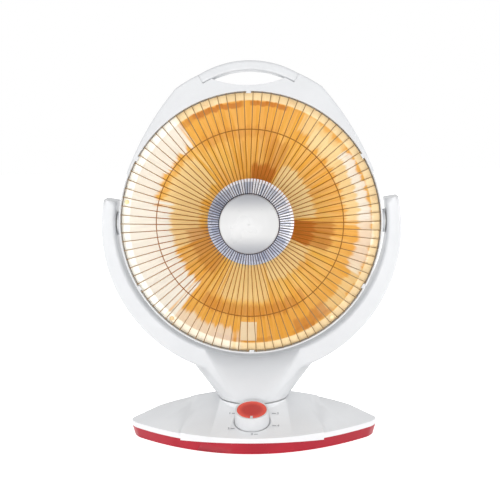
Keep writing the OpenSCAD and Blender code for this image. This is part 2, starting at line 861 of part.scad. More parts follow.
// A round plate whose front edge is rounded.
module puck(r, back, front, round) {
    if (round > 0)
        rotate_extrude() polygon(concat(
            [[0, back], [r, back]],
            arc_points(r - round, front - round, round, 0, 90, 4),
            [[0, front]]
        ));
    else
        translate([0, 0, back]) cylinder(r = r, h = front - back);
}

// The crown above the dish: three large arcs and a straight foot, drawn in by inset.
module crown_form(inset, back, front, round) {
    intersection() {
        translate([crown_x, crown_y, 0]) puck(crown_side_r - inset, back, front, round);
        translate([-crown_x, crown_y, 0]) puck(crown_side_r - inset, back, front, round);
        translate([0, crown_top_y, 0]) puck(crown_top_r - inset, back, front, round);
        translate([-200, crown_low_y + inset, back - 1]) cube([400, 200, front - back + 2]);
    }
}

// The room for the grip and the hand slot, widened by grow.
module handle_room(grow) {
    translate([0, handle_y, -100]) linear_extrude(200) intersection() {
        difference() {
            circle(r = handle_r + 30);
            circle(r = grip_in_r - grow);
        }
        polygon([
            [0, -grow / sin(grip_half_angle)],
            [-200 * sin(grip_half_angle), 200 * cos(grip_half_angle) - grow / sin(grip_half_angle)],
            [200 * sin(grip_half_angle), 200 * cos(grip_half_angle) - grow / sin(grip_half_angle)]
        ]);
    }
    translate([0, 0, -100]) linear_extrude(200) intersection() {
        translate([0, handle_y]) circle(r = grip_in_r + 1);
        translate([0, slot_low_y]) circle(r = slot_low_r + grow);
    }
}

module at_shell_screws() {
    for (a = shell_screw_angles) rotate([0, 0, a]) translate([shell_screw_r, 0, 0]) children();
}

module at_reflector_screws() {
    for (a = reflector_screw_angles) rotate([0, 0, a]) translate([ledge_in_r + 3.2, 0, 0]) children();
}

module head_bezel() {
    ledge_low = flange_z - ledge_t;
    color("white") on_head() difference() {
        union() {
            difference() {
                union() {
                    puck(rim_r, split_z, lip_front, 1);
                    crown_form(0, split_z, lip_front, 2.5);
                }
                difference() {
                    crown_form(head_wall, split_z - 1, lip_front - head_wall, 1);
                    cylinder(r = rim_r, h = 100, center = true);
                    handle_room(head_wall);
                }
                handle_room(room_gap);
                translate([0, 0, flange_z]) cylinder(r = lip_in_r, h = 20);
                translate([0, 0, ledge_low - 20]) cylinder(r = lip_in_r, h = 20);
                cylinder(r = ledge_in_r, h = 100);
            }
            at_shell_screws() translate([0, 0, split_z]) cylinder(r = 4.2, h = ledge_low + 1 - split_z);
            for (i = [0:hook_n - 1]) rotate([0, 0, hook_angle(i)])
                translate([hook_in_r, -hook_w / 2, lip_front - hook_sink - hook_t])
                    cube([lip_in_r - hook_in_r + 0.5, hook_w, hook_t]);
        }
        at_shell_screws() cylinder(r = screw_r + thread_gap, h = flange_z - 0.6);
        at_reflector_screws() cylinder(r = screw_r + thread_gap, h = 50);
    }
}

function shell_z(r) = -shell_back + (shell_back + shell_rim_z) * pow(r / rim_r, shell_power);

module bowl(inset, front) {
    n = 12;
    r_edge = rim_r - inset;
    rotate_extrude() polygon(concat(
        [[0, front], [0, inset - shell_back]],
        [for (i = [4:n]) let (r = r_edge * i / n)
            [r, shell_z(r * rim_r / r_edge) + inset * (n - i * 0.4) / n]],
        [[r_edge, front]]
    ));
}

module vents() {
    for (i = [0:vent_n - 1]) rotate([0, 0, 360 * (i + 0.5) / vent_n])
        translate([88, -2.2, -100]) cube([34, 4.4, 80]);
    for (i = [0:11]) rotate([0, 0, 30 * i]) translate([46, -2.2, -100]) cube([28, 4.4, 80]);
}

// Space kept free behind the dish.
module dish_space() {
    rotate_extrude() polygon(concat(
        [for (i = [0:8]) let (r = dish_r * i / 8) [r + dish_room, dish_z(r) - dish_room]],
        [[dish_r + dish_room, 40], [0, 40], [0, dish_back - dish_room]]
    ));
}

module head_shell() {
    color("white") on_head() difference() {
        union() {
            difference() {
                union() {
                    bowl(0, split_z);
                    crown_form(0, crown_back, split_z, 0);
                }
                difference() {
                    crown_form(head_wall, crown_back + head_wall, split_z + 1, 0);
                    handle_room(head_wall);
                    cylinder(r = rim_r - 0.5, h = 100, center = true);
                }
                bowl(head_wall, split_z + 1);
            }
            intersection() {
                bowl(0.5, split_z);
                at_shell_screws() translate([0, 0, -20]) cylinder(r = 4.2, h = split_z + 20);
            }
            difference() {
                for (s = [-1, 1]) translate([s * pivot_boss_in, 0, 0]) rotate([0, s * 90, 0])
                    cylinder(r = pivot_boss_r, h = pivot_boss_x - pivot_boss_in);
                dish_space();
            }
        }
        handle_room(room_gap);
        vents();
        for (s = [-1, 1]) translate([s * pivot_in, 0, 0]) rotate([0, s * 90, 0])
            cylinder(r = pivot_r + seat_gap, h = 40);
        for (s = [-1, 1]) translate([s * (rim_r - 45), 0, 0]) rotate([0, s * 90, 0])
            cylinder(r = pivot_way_r, h = 40);
        at_shell_screws() translate([0, 0, -30]) cylinder(r = screw_r + screw_gap, h = 80);
        at_shell_screws() translate([0, 0, -30]) cylinder(r = screw_head_r + 0.2, h = 34);
        for (a = [-handle_screw_angle, handle_screw_angle]) translate([0, handle_y, handle_screw_z])
            rotate([0, 0, a]) translate([0, grip_in_r - 8, 0]) rotate([-90, 0, 0])
                cylinder(r = screw_r + screw_gap, h = 10);
    }
}

module handle_grip() {
    front = lip_front - grip_sink;
    color("white") on_head() translate([0, handle_y, 0]) difference() {
        rotate([0, 0, 90 - grip_half_angle]) rotate_extrude(angle = 2 * grip_half_angle)
            polygon(rounded_rect(grip_in_r, front - grip_d, handle_r, front, 3, 5));
        for (a = [-handle_screw_angle, handle_screw_angle]) rotate([0, 0, a])
            translate([0, grip_in_r - 1, handle_screw_z]) rotate([-90, 0, 0])
                cylinder(r = screw_r + thread_gap, h = 9);
    }
}

module handle_screws() {
    color("silver") on_head() for (a = [-handle_screw_angle, handle_screw_angle])
        translate([0, handle_y, handle_screw_z]) rotate([0, 0, a])
            translate([0, grip_in_r - head_wall - 2 - 3 * seat_gap, 0]) rotate([90, 0, 0]) screw(10);
}

module shell_screws() {
    color("silver") on_head() at_shell_screws() translate([0, 0, 2 - seat_gap]) mirror([0, 0, 1]) screw(17);
}

// Parabolic dish: depth grows with the square of the radius, then a flat flange.
module reflector() {
    n = 20;
    hole = holder_r + 0.4;
    front = [for (i = [0:n]) let (r = hole + (dish_r - hole) * i / n) [r, dish_z(r)]];
    flange = [[lip_in_r - 0.3, flange_z + dish_t], [lip_in_r - 0.3, flange_z], [dish_r + 0.4, flange_z]];
    back = [for (i = [n:-1:0]) let (r = hole + (dish_r - hole) * i / n) [r, dish_z(r) - dish_t]];
    color("goldenrod") on_head() difference() {
        rotate_extrude() polygon(concat(front, [[dish_r + 1, flange_z + dish_t]], flange, back));
        at_reflector_screws() cylinder(r = screw_r + screw_gap, h = 50);
    }
}

module reflector_screws() {
    color("silver") on_head() at_reflector_screws() translate([0, 0, flange_z + dish_t + 1.5 + seat_gap])
        screw(6, head_r = 2.8, head_h = 1.5);
}

module element_holder() {
    seat = dish_z(holder_flange_r) + seat_gap;
    color("ivory") on_head() rotate_extrude() polygon([
        [4, holder_back], [holder_r - 2, holder_back], [holder_r, holder_back + 2], [holder_r, seat],
        [holder_flange_r, seat], [holder_flange_r, seat + 2.5], [holder_flange_r - 3, core_back],
        [4, core_back]
    ]);
}

// Flat clip that grips the holder behind the dish; one ear carries the cut-out.
module holder_clip() {
    color("silver") on_head() translate([0, 0, clip_z]) difference() {
        union() {
            cylinder(r = holder_r + 8, h = clip_t);
            translate([-holder_r - 26, -7, 0]) cube([2 * holder_r + 52, 14, clip_t]);
        }
        translate([0, 0, -1]) cylinder(r = holder_r + seat_gap, h = 5);
        for (s = [-1, 1]) translate([s * (holder_r + 17), 0, -1]) cylinder(r = screw_r + screw_gap, h = 5);
    }
}

module thermal_cutout() {
    color("black") on_head() translate([holder_r + 17, 0, clip_z - seat_gap - 8]) difference() {
        union() {
            cylinder(r = 7, h = 8);
            for (s = [-1, 1]) translate([-1.5, s * 9 - 3, 3]) cube([3, 6, 0.8]);
        }
        translate([0, 0, 5]) cylinder(r = screw_r + thread_gap, h = 5);
    }
}

// Ceramic core with end collars and shallow ribs.
module element_core() {
    color("ivory") on_head() rotate_extrude() polygon(concat(
        [[0, core_back], [core_r + 4, core_back], [core_r + 4, core_back + 3], [core_r, core_back + 4]],
        [[core_r, core_front - 4], [core_r + 4, core_front - 3], [core_r + 4, core_front], [0, core_front]]
    ));
}

// One tube wound round the core, with the ends run straight along the core's axis.
coil_per_turn = 24;
coil_sides = 6;
function coil_centre(i) = let (t = i / coil_per_turn)
    [coil_r * cos(360 * t), coil_r * sin(360 * t), coil_back + (coil_front - coil_back) * t / coil_turns];
function coil_ring(i) = let (a = 360 * i / coil_per_turn, c = coil_centre(i)) [
    for (j = [0:coil_sides - 1]) let (b = 360 * j / coil_sides) [
        c[0] + coil_wire_r * cos(b) * cos(a),
        c[1] + coil_wire_r * cos(b) * sin(a),
        c[2] + coil_wire_r * sin(b)
    ]
];

// Least gap of the coil to itself, measured between ring centres one turn apart and nearby.
coil_gap = min([
    for (i = [0:coil_per_turn], k = [-4:4]) norm(coil_centre(i) - coil_centre(i + coil_per_turn + k))
]) - 2 * coil_wire_r;
echo(coil_gap = coil_gap);

module element_coil() {
    rings = coil_turns * coil_per_turn;
    points = [for (i = [0:rings]) each coil_ring(i)];
    side_faces = [
        for (i = [0:rings - 1], j = [0:coil_sides - 1]) let (
            a = i * coil_sides + j, b = i * coil_sides + (j + 1) % coil_sides
        ) each [[a, a + coil_sides, b], [b, a + coil_sides, b + coil_sides]]
    ];
    start = [for (j = [1:coil_sides - 2]) [0, j, j + 1]];
    last = rings * coil_sides;
    end = [for (j = [1:coil_sides - 2]) [last, last + j + 1, last + j]];
    color("darkgray") on_head() polyhedron(concat(points), concat(side_faces, start, end));
}

// Silver cone behind the guard's cap, facing the dish with its hollow side.
module deflector() {
    top = core_front + 0.3;
    edge = top - 14;
    color("silver") on_head() rotate_extrude() polygon([
        [2, top], [22, top], [deflector_r, edge], [deflector_r + 1.2, edge],
        [deflector_r + 1.2, edge + 1.2],
        [deflector_r + 0.4, edge + 1.2], [22.4, top + 1], [2, top + 1]
    ]);
}

// ---------- guard ----------

module guard_ring(r, z, section_r) {
    translate([0, 0, z]) rotate_extrude() translate([r, 0]) circle(r = section_r, $fn = 24);
}

module guard() {
    out_angle = asin((guard_ring_r + 0.8) / dome_r);
    in_angle = asin(wire_in_r / dome_r);
    behind = wire_r + thin_wire_r - weld;
    color("saddlebrown") on_head() {
        guard_ring(guard_ring_r, guard_ring_z, ring_wire_r);
        for (r = [mid_ring_r, inner_ring_r, end_ring_r]) guard_ring(r, dome_z(r) - behind, thin_wire_r);
        for (i = [0:wire_n - 1]) rotate([0, 0, 360 * i / wire_n])
            translate([0, 0, dome_c]) rotate([90, 0, 0])
            rotate([0, 0, 90 - out_angle]) rotate_extrude(angle = out_angle - in_angle)
                translate([dome_r, 0]) circle(r = wire_r, $fn = 16);
    }
}

// Crowned disc with a rounded edge and a hollow back, and a boss for its screw.
module guard_cap() {
    r = cap_r - 2.5;
    low = cap_low_z;
    color("white") on_head() difference() {
        rotate_extrude() polygon(concat(
            [[0, low], [cap_r, low]],
            [for (a = [0:15:90]) [r + 2.5 * cos(a), low + 1.6 + 2.5 * sin(a)]],
            [for (i = [1:4]) let (x = r * (1 - i / 4)) [x, low + 4.1 + 2.6 * (1 - pow(x / r, 2))]]
        ));
        difference() {
            translate([0, 0, low - 1]) cylinder(r = cap_r - 2, h = 3.2);
            translate([0, 0, low - 2]) cylinder(r = cap_boss_r, h = 6);
        }
        translate([0, 0, low - 1]) cylinder(r = screw_r + thread_gap, h = 5);
    }
}

module cap_clamp() {
    color("silver") on_head() difference() {
        union() {
            translate([0, 0, clamp_top_z - clamp_t]) cylinder(r = clamp_r, h = clamp_t);
            translate([0, 0, clamp_top_z - eps])
                cylinder(r = cap_boss_r, h = cap_low_z - seat_gap - clamp_top_z);
        }
        translate([0, 0, clamp_top_z - 5]) cylinder(r = screw_r + screw_gap, h = 20);
    }
}

module cap_screw() {
    color("silver") on_head() translate([0, 0, clamp_top_z - clamp_t - 2 - seat_gap])
        mirror([0, 0, 1]) screw(9);
}

// ---------- tilt joints ----------

module pivot_pins() {
    wall_x = yoke_in_r + yoke_wall + hub_h + face_gap;
    color("silver") on_head() for (s = [-1, 1]) rotate([0, s * 90, 0]) difference() {
        union() {
            translate([0, 0, pivot_in + seat_gap]) cylinder(r = pivot_r, h = wall_x - pivot_in);
            translate([0, 0, wall_x]) cylinder(r = pivot_head_r, h = 3);
        }
        cylinder(r = pivot_way_r, h = 300);
    }
}

module friction_washers() {
    color("ivory") on_head() for (s = [-1, 1]) rotate([0, s * 90, 0]) translate([0, 0, pivot_boss_x])
        tube(pivot_washer_r, pivot_r + 0.1, pivot_washer_t);
}

base_tray();
base_cover();
base_feet();
base_weights();
base_screws();
swing_motor();
motor_screws();
rotary_switch();
switch_screws();
tipover_switch();
terminal_block();
cord_gland();
swivel_washer();
crank();
tipover_plunger();
knob();
knob_cap();
switch_shaft();
yoke_front();
yoke_back();
yoke_screws();
swivel_spindle();
spindle_screws();
swivel_lever();
retainer_ring();
head_bezel();
head_shell();
handle_grip();
handle_screws();
shell_screws();
reflector();
reflector_screws();
element_holder();
holder_clip();
thermal_cutout();
element_core();
element_coil();
deflector();
guard();
guard_cap();
cap_clamp();
cap_screw();
pivot_pins();
friction_washers();
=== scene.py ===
"""Looks, camera and light of the parabolic heater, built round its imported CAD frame.

Metres, +Z up, front towards -Y, origin on the floor under the middle of the base. The CAD nodes stay where they are.
Moulded shells get a smooth skin from their own CAD mesh, and the guard, dish, deflector and dial marks are new
surfaces worked out with numpy.
"""

import logging
import math
from dataclasses import dataclass, field
from enum import Enum
from functools import cache

import bmesh
import bpy
import numpy as np
from mathutils import Matrix, Vector


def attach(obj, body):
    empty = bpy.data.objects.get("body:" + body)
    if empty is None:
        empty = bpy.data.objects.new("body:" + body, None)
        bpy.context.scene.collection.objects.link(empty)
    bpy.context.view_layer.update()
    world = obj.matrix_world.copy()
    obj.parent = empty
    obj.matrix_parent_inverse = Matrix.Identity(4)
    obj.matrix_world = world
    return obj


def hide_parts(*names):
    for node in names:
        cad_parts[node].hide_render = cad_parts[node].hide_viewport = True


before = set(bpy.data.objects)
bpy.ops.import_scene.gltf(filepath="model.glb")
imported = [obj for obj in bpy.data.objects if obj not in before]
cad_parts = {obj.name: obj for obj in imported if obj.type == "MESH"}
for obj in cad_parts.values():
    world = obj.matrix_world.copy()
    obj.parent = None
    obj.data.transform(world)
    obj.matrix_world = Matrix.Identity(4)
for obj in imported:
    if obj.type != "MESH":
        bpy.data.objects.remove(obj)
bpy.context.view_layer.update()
MERGE_WITHIN = 2e-6  # metres between corners of a CAD mesh that are the same point
NO_LENGTH = 1e-7  # metres, under which an edge has no length
log = logging.getLogger("heater")

Colour = tuple[float, float, float]
Socket = bpy.types.NodeSocket
Feed = Socket | float | tuple[float, ...]


class Body(str, Enum):
    """The moving bodies that a piece can ride on."""

    BASE = "base"
    YOKE = "yoke"
    HEAD = "head"


# ---------------------------------------------------------------- places


@dataclass(frozen=True)
class TiltedFrame:
    """A frame turned about X by its slope: X right, Y up its face, Z out of its face, origin at (0, y, z)."""

    y: float
    z: float
    slope_deg: float

    def place(self, points: np.ndarray) -> np.ndarray:
        """Turns points of this frame into points of the row frame.

        Args:
            points: array whose last axis is x, y, z in this frame, in metres.

        Returns:
            An array of the same shape, turned by the slope about X and moved to the frame's origin.
        """
        slope = math.radians(self.slope_deg)
        x, y, z = points[..., 0], points[..., 1], points[..., 2]
        return np.stack([
            x,
            self.y + y * math.cos(slope) - z * math.sin(slope),
            self.z + y * math.sin(slope) + z * math.cos(slope),
        ], axis=-1)


# The head leans back by 3.5 degrees about its tilt axis, and the panel slopes up to the back from under the knob.
HEAD = TiltedFrame(y=0.016, z=0.275, slope_deg=86.5)
PANEL = TiltedFrame(y=-0.0518, z=0.03407, slope_deg=17.65)


# ---------------------------------------------------------------- surfaces


class Surface:
    """Collects grids of points into one mesh whose faces point outwards."""

    def __init__(self) -> None:
        """Starts empty."""
        self.points: list[np.ndarray] = []
        self.faces: list[list[int]] = []
        self.count = 0

    def add_sheets(self, sheets: np.ndarray, wrap_u: bool = False, wrap_v: bool = False,
                   cap_u: bool = False, flip: bool = False) -> None:
        """Adds many grids of the same size at once.

        Args:
            sheets: array (sheets, u, v, 3) of points.
            wrap_u: joins the last row of u to the first.
            wrap_v: joins the last column of v to the first.
            cap_u: closes both ends of u with one face each.
            flip: turns every face over.
        """
        n, rows, cols, _ = sheets.shape
        u = np.arange(rows if wrap_u else rows - 1)
        v = np.arange(cols if wrap_v else cols - 1)
        uu, vv = np.meshgrid(u, v, indexing="ij")
        u1, v1 = (uu + 1) % rows, (vv + 1) % cols
        quad = np.stack([uu * cols + vv, u1 * cols + vv, u1 * cols + v1, uu * cols + v1], axis=-1).reshape(-1, 4)
        start = self.count + np.arange(n)[:, None, None] * rows * cols
        quads = (quad[None] + start).reshape(-1, 4)
        if flip:
            quads = quads[:, ::-1]
        self.faces.extend(quads.tolist())
        if cap_u:
            ring = np.arange(cols)
            first = ring[None] + start[:, :, 0]
            last = ring[None, ::-1] + (rows - 1) * cols + start[:, :, 0]
            caps = np.concatenate([first, last])
            self.faces.extend((caps[:, ::-1] if flip else caps).tolist())
        self.points.append(sheets.reshape(-1, 3))
        self.count += n * rows * cols

    def build(self, name: str, smooth_deg: float = 35.0) -> bpy.types.Object:
        """Makes the mesh object.

        Args:
            name: the piece's name.
            smooth_deg: edges sharper than this stay sharp.

        Returns:
            The new object, at the origin.
        """
        mesh = bpy.data.meshes.new(name)
        mesh.from_pydata(np.concatenate(self.points).tolist(), [], self.faces)
        mesh.validate()
        return show(mesh, name, smooth_deg)


def show(mesh: bpy.types.Mesh, name: str, smooth_deg: float) -> bpy.types.Object:
    """Smooths a finished mesh and puts it into the scene.

    Args:
        mesh: the mesh.
        name: the piece's name.
        smooth_deg: edges sharper than this stay sharp.

    Returns:
        The new object, at the origin.
    """
    mesh.shade_smooth()
    mesh.set_sharp_from_angle(angle=math.radians(smooth_deg))
    made = bpy.data.objects.new(name, mesh)
    bpy.context.scene.collection.objects.link(made)
    return made


def circle(count: int) -> np.ndarray:
    """The cosines and sines of evenly spaced angles round a circle, as an array (count, 2)."""
    angle = np.linspace(0, 2 * math.pi, count, endpoint=False)
    return np.stack([np.cos(angle), np.sin(angle)], axis=-1)


def revolve(profile: np.ndarray, steps: int) -> np.ndarray:
    """Turns a closed profile round the head's axis.

    A point of the surface at profile point (r, z) and angle a is (r cos a, r sin a, z).

    Args:
        profile: array (n, 2) of radius and height.
        steps: number of angles.

    Returns:
        An array (steps, n, 3) in the head's frame.
    """
    turn = circle(steps)
    r, z = profile[:, 0], profile[:, 1]
    return np.stack([
        turn[:, None, 0] * r[None], turn[:, None, 1] * r[None], np.broadcast_to(z, (steps, len(z))),
    ], axis=-1)


def tube(path: np.ndarray, side: np.ndarray, up: np.ndarray, radius: float, sides: int) -> np.ndarray:
    """Carries a circle along a path.

    A point of the surface is the path point plus the radius times cos b along side plus sin b along up.

    Args:
        path: array (..., n, 3) of centre points.
        side: array that fits path, the unit vector of the section's first axis.
        up: array that fits path, the unit vector of the section's second axis.
        radius: the section's radius.
        sides: number of points round the section.

    Returns:
        An array (..., n, sides, 3).
    """
    ring = circle(sides) * radius
    return path[..., None, :] + side[..., None, :] * ring[:, 0, None] + up[..., None, :] * ring[:, 1, None]


def skin_of(node: str, name: str, smooth_deg: float) -> bpy.types.Object:
    """Copies a CAD node's mesh, merges its loose triangles and smooths it, and hides the node.

    Args:
        node: the CAD node that the skin stands for.
        name: the piece's name.
        smooth_deg: edges sharper than this stay sharp.

    Returns:
        The new object, exactly where the node is.
    """
    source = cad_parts[node]
    mesh = bpy.data.meshes.new(name)
    work = bmesh.new()
    work.from_mesh(source.data)
    bmesh.ops.remove_doubles(work, verts=work.verts, dist=MERGE_WITHIN)
    bmesh.ops.dissolve_degenerate(work, edges=work.edges, dist=NO_LENGTH)
    work.to_mesh(mesh)
    work.free()
    made = show(mesh, name, smooth_deg)
    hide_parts(node)
    return made


# ---------------------------------------------------------------- shader wiring


class Wiring:
    """A node tree under construction, with short ways to add nodes and to feed their inputs."""

    def __init__(self, tree: bpy.types.NodeTree) -> None:
        """Takes the tree to build in."""
        self.tree = tree

    def feed(self, socket: Socket, value: Feed) -> None:
        """Links a result to an input or sets the input's own value; a colour gets its full alpha."""
        if isinstance(value, bpy.types.NodeSocket):
            self.tree.links.new(value, socket)
        elif socket.type == "RGBA":
            socket.default_value = (*value, 1.0)
        else:
            socket.default_value = value

    def add(self, kind: str, feeds: dict[int | str, Feed] | None = None, **options: object) -> bpy.types.Node:
        """Adds a node.

        Args:
            kind: the node's type without its leading "ShaderNode".
            feeds: input number or name to the result or value that feeds it.
            **options: the node's own properties, which are set before its inputs.

        Returns:
            The new node.
        """
        node = self.tree.nodes.new("ShaderNode" + kind)
        for label, value in options.items():
            setattr(node, label, value)
        for label, value in (feeds or {}).items():
            self.feed(node.inputs[label], value)
        return node

    def number(self, operation: str, *feeds: Feed) -> Socket:
        """Adds an operation on numbers and returns its result."""
        return self.add("Math", dict(enumerate(feeds)), operation=operation).outputs[0]

    def vector(self, operation: str, *feeds: Feed) -> Socket:
        """Adds an operation on vectors and returns the vector it gives."""
        return self.add("VectorMath", dict(enumerate(feeds)), operation=operation).outputs["Vector"]

    def measure(self, operation: str, *feeds: Feed) -> Socket:
        """Adds an operation on vectors and returns the number it gives, such as a length."""
        return self.add("VectorMath", dict(enumerate(feeds)), operation=operation).outputs["Value"]

    def between(self, mask: Socket, low: float, high: float) -> Socket:
        """Maps a mask from 0..1 to low..high."""
        return self.add("MapRange", {"Value": mask, "To Min": low, "To Max": high}).outputs["Result"]

    def step(self, value: Socket, low: Feed, high: Feed) -> Socket:
        """A smooth step from 0 at low to 1 at high, which may be the smaller one."""
        feeds = {"Value": value, "From Min": low, "From Max": high}
        return self.add("MapRange", feeds, interpolation_type="SMOOTHSTEP").outputs["Result"]

    def layer(self, mask: Socket, under: Feed, over: Feed, strength: float = 1.0) -> Socket:
        """Lays one colour over another.

        Args:
            mask: where the upper colour shows, from 0 to 1.
            under: the lower colour or result.
            over: the upper colour or result.
            strength: how much of the upper colour shows where the mask is 1.

        Returns:
            The mixed colour.
        """
        if strength != 1.0:
            mask = self.number("MULTIPLY", mask, strength)
        return self.add("Mix", {0: mask, 6: under, 7: over}, data_type="RGBA").outputs[2]

    def noise(self, where: Socket, scale: Feed, detail: float, roughness: float = 0.5) -> Socket:
        """Noise at a point, from 0 to 1."""
        feeds = {"Vector": where, "Scale": scale, "Detail": detail, "Roughness": roughness}
        return self.add("TexNoise", feeds).outputs["Fac"]

    def bump(self, height: Socket, distance: Feed) -> Socket:
        """The normal of a surface raised by a height of 0 to 1 times a distance in metres."""
        return self.add("Bump", {"Height": height, "Distance": distance, "Strength": 1.0}).outputs["Normal"]

    def object_point(self) -> Socket:
        """The point in object coordinates."""
        return self.add("TexCoord").outputs["Object"]

    def head_point(self) -> Socket:
        """The point in the head's own frame."""
        feeds = {"Vector": self.object_point(), "Location": (0.0, HEAD.y, HEAD.z),
                 "Rotation": (math.radians(HEAD.slope_deg), 0.0, 0.0)}
        return self.add("Mapping", feeds, vector_type="TEXTURE").outputs["Vector"]

    def head_flat(self) -> Socket:
        """The way from the head's axis to the point, square to that axis."""
        return self.vector("MULTIPLY", self.head_point(), (1.0, 1.0, 0.0))

    def toward(self, way: Socket, bearing_deg: float) -> Socket:
        """The cosine of the angle between a unit way from the axis and a bearing, clockwise from the top."""
        turn = math.radians(bearing_deg)
        return self.measure("DOT_PRODUCT", way, (math.sin(turn), math.cos(turn), 0.0))


class Group(Wiring):
    """A shared node group under construction."""

    def __init__(self, name: str, **inputs: float) -> None:
        """Makes the empty group.

        Args:
            name: the group's name.
            **inputs: name of each number that the group takes to its usual value.
        """
        super().__init__(bpy.data.node_groups.new(name, "ShaderNodeTree"))
        for label, value in inputs.items():
            socket = self.tree.interface.new_socket(label, in_out="INPUT", socket_type="NodeSocketFloat")
            socket.default_value = value
        self.taken = self.tree.nodes.new("NodeGroupInput").outputs

    def give(self, **results: Socket) -> bpy.types.NodeTree:
        """Adds the group's outputs.

        Args:
            **results: output name to the result that it gives.

        Returns:
            The finished group.
        """
        for label, result in results.items():
            kind = "NodeSocketVector" if result.type == "VECTOR" else "NodeSocketFloat"
            self.tree.interface.new_socket(label, in_out="OUTPUT", socket_type=kind)
        leave = self.tree.nodes.new("NodeGroupOutput")
        for label, result in results.items():
            self.feed(leave.inputs[label], result)
        return self.tree


@cache
def grain_group() -> bpy.types.NodeTree:
    """Fine surface grain: noise in object space as a mask and as a bump normal."""
    g = Group("surface_grain", Scale=900.0, Height=0.00002)
    noise = g.noise(g.object_point(), g.taken["Scale"], detail=3.0)
    return g.give(Mask=noise, Normal=g.bump(noise, g.taken["Height"]))


@cache
def cloud_group() -> bpy.types.NodeTree:
    """Soft broad variation between 0 and 1, for tone and handling marks."""
    g = Group("tone_cloud", Scale=18.0)
    noise = g.noise(g.object_point(), g.taken["Scale"], detail=4.0, roughness=0.55)
    return g.give(Mask=g.step(noise, low=0.35, high=0.65))


@cache
def polar_group() -> bpy.types.NodeTree:
    """Streaks that run out from the head's axis.

    With d the unit way from the axis and r the distance from it, the noise is taken at the point
    Rays d + (0, 0, Rings r + Seed) and then stepped between From and To.
    """
    g = Group("polar_streaks", Rays=6.0, Rings=40.0, Seed=0.0, From=0.4, To=0.6)
    flat = g.head_flat()
    away = g.measure("LENGTH", flat)
    rays = g.add("VectorMath", {0: g.vector("NORMALIZE", flat), "Scale": g.taken["Rays"]}, operation="SCALE")
    lift = g.add("CombineXYZ", {"Z": g.number("MULTIPLY_ADD", away, g.taken["Rings"], g.taken["Seed"])})
    noise = g.noise(g.vector("ADD", rays.outputs["Vector"], lift.outputs[0]), scale=1.0, detail=3.0)
    return g.give(Mask=g.step(noise, g.taken["From"], g.taken["To"]), Distance=away)


class Shader(Wiring):
    """One material under construction."""

    def __init__(self, name: str) -> None:
        """Makes the material.

        Args:
            name: the material's name.
        """
        self.material = bpy.data.materials.new(name)
        self.material.use_nodes = True
        super().__init__(self.material.node_tree)

    def group(self, tree: bpy.types.NodeTree, **values: float) -> bpy.types.NodeOutputs:
        """Places a shared group with its own values and returns its outputs."""
        return self.add("Group", values, node_tree=tree).outputs

    def cloud(self, scale: float) -> Socket:
        """The mask of the broad variation."""
        return self.group(cloud_group(), Scale=scale)["Mask"]

    def grain(self, scale: float, height: float) -> Socket:
        """The normal of the fine grain, with its height in metres."""
        return self.group(grain_group(), Scale=scale, Height=height)["Normal"]

    def surface(self, feeds: dict[str, Feed]) -> bpy.types.Material:
        """Feeds the Principled shader and returns the finished material."""
        inputs = self.tree.nodes["Principled BSDF"].inputs
        for label, value in feeds.items():
            self.feed(inputs[label], value)
        return self.material


# ---------------------------------------------------------------- finishes


@dataclass(frozen=True)
class TwoTone:
    """A surface that drifts between two near tones with a broad cloud, under a fine grain."""

    name: str
    colour: Colour
    shade: Colour
    roughness: float
    spread: float
    cloud: float
    grain: float
    height: float
    metallic: float
    specular: float = 0.5

    def make(self) -> bpy.types.Material:
        """Builds the material."""
        s = Shader(self.name)
        cloud = s.cloud(self.cloud)
        return s.surface({
            "Base Color": s.layer(cloud, self.colour, self.shade),
            "Roughness": s.between(cloud, self.roughness, self.roughness + self.spread),
            "Normal": s.grain(self.grain, self.height),
            "Metallic": self.metallic,
            "Specular IOR Level": self.specular,
        })


@dataclass(frozen=True)
class Plastic(TwoTone):
    """Moulded plastic: a colour with a faint cloud, soft gloss and fine grain."""

    roughness: float = 0.32
    spread: float = 0.06
    cloud: float = 22.0
    grain: float = 900.0
    height: float = 0.00002
    metallic: float = 0.0


@dataclass(frozen=True)
class Metal(TwoTone):
    """Plain metal: a tinted reflection with a very fine grain and a few duller places."""

    roughness: float = 0.3
    spread: float = 0.12
    cloud: float = 60.0
    grain: float = 1400.0
    height: float = 0.00001
    metallic: float = 1.0


@dataclass(frozen=True)
class ReflectionPatch:
    """One soft patch of painted reflection on the dish: a sector between two distances from the axis, in metres."""

    bearing_deg: float
    half_deg: float
    inner: float
    outer: float
    strength: float = 1.0


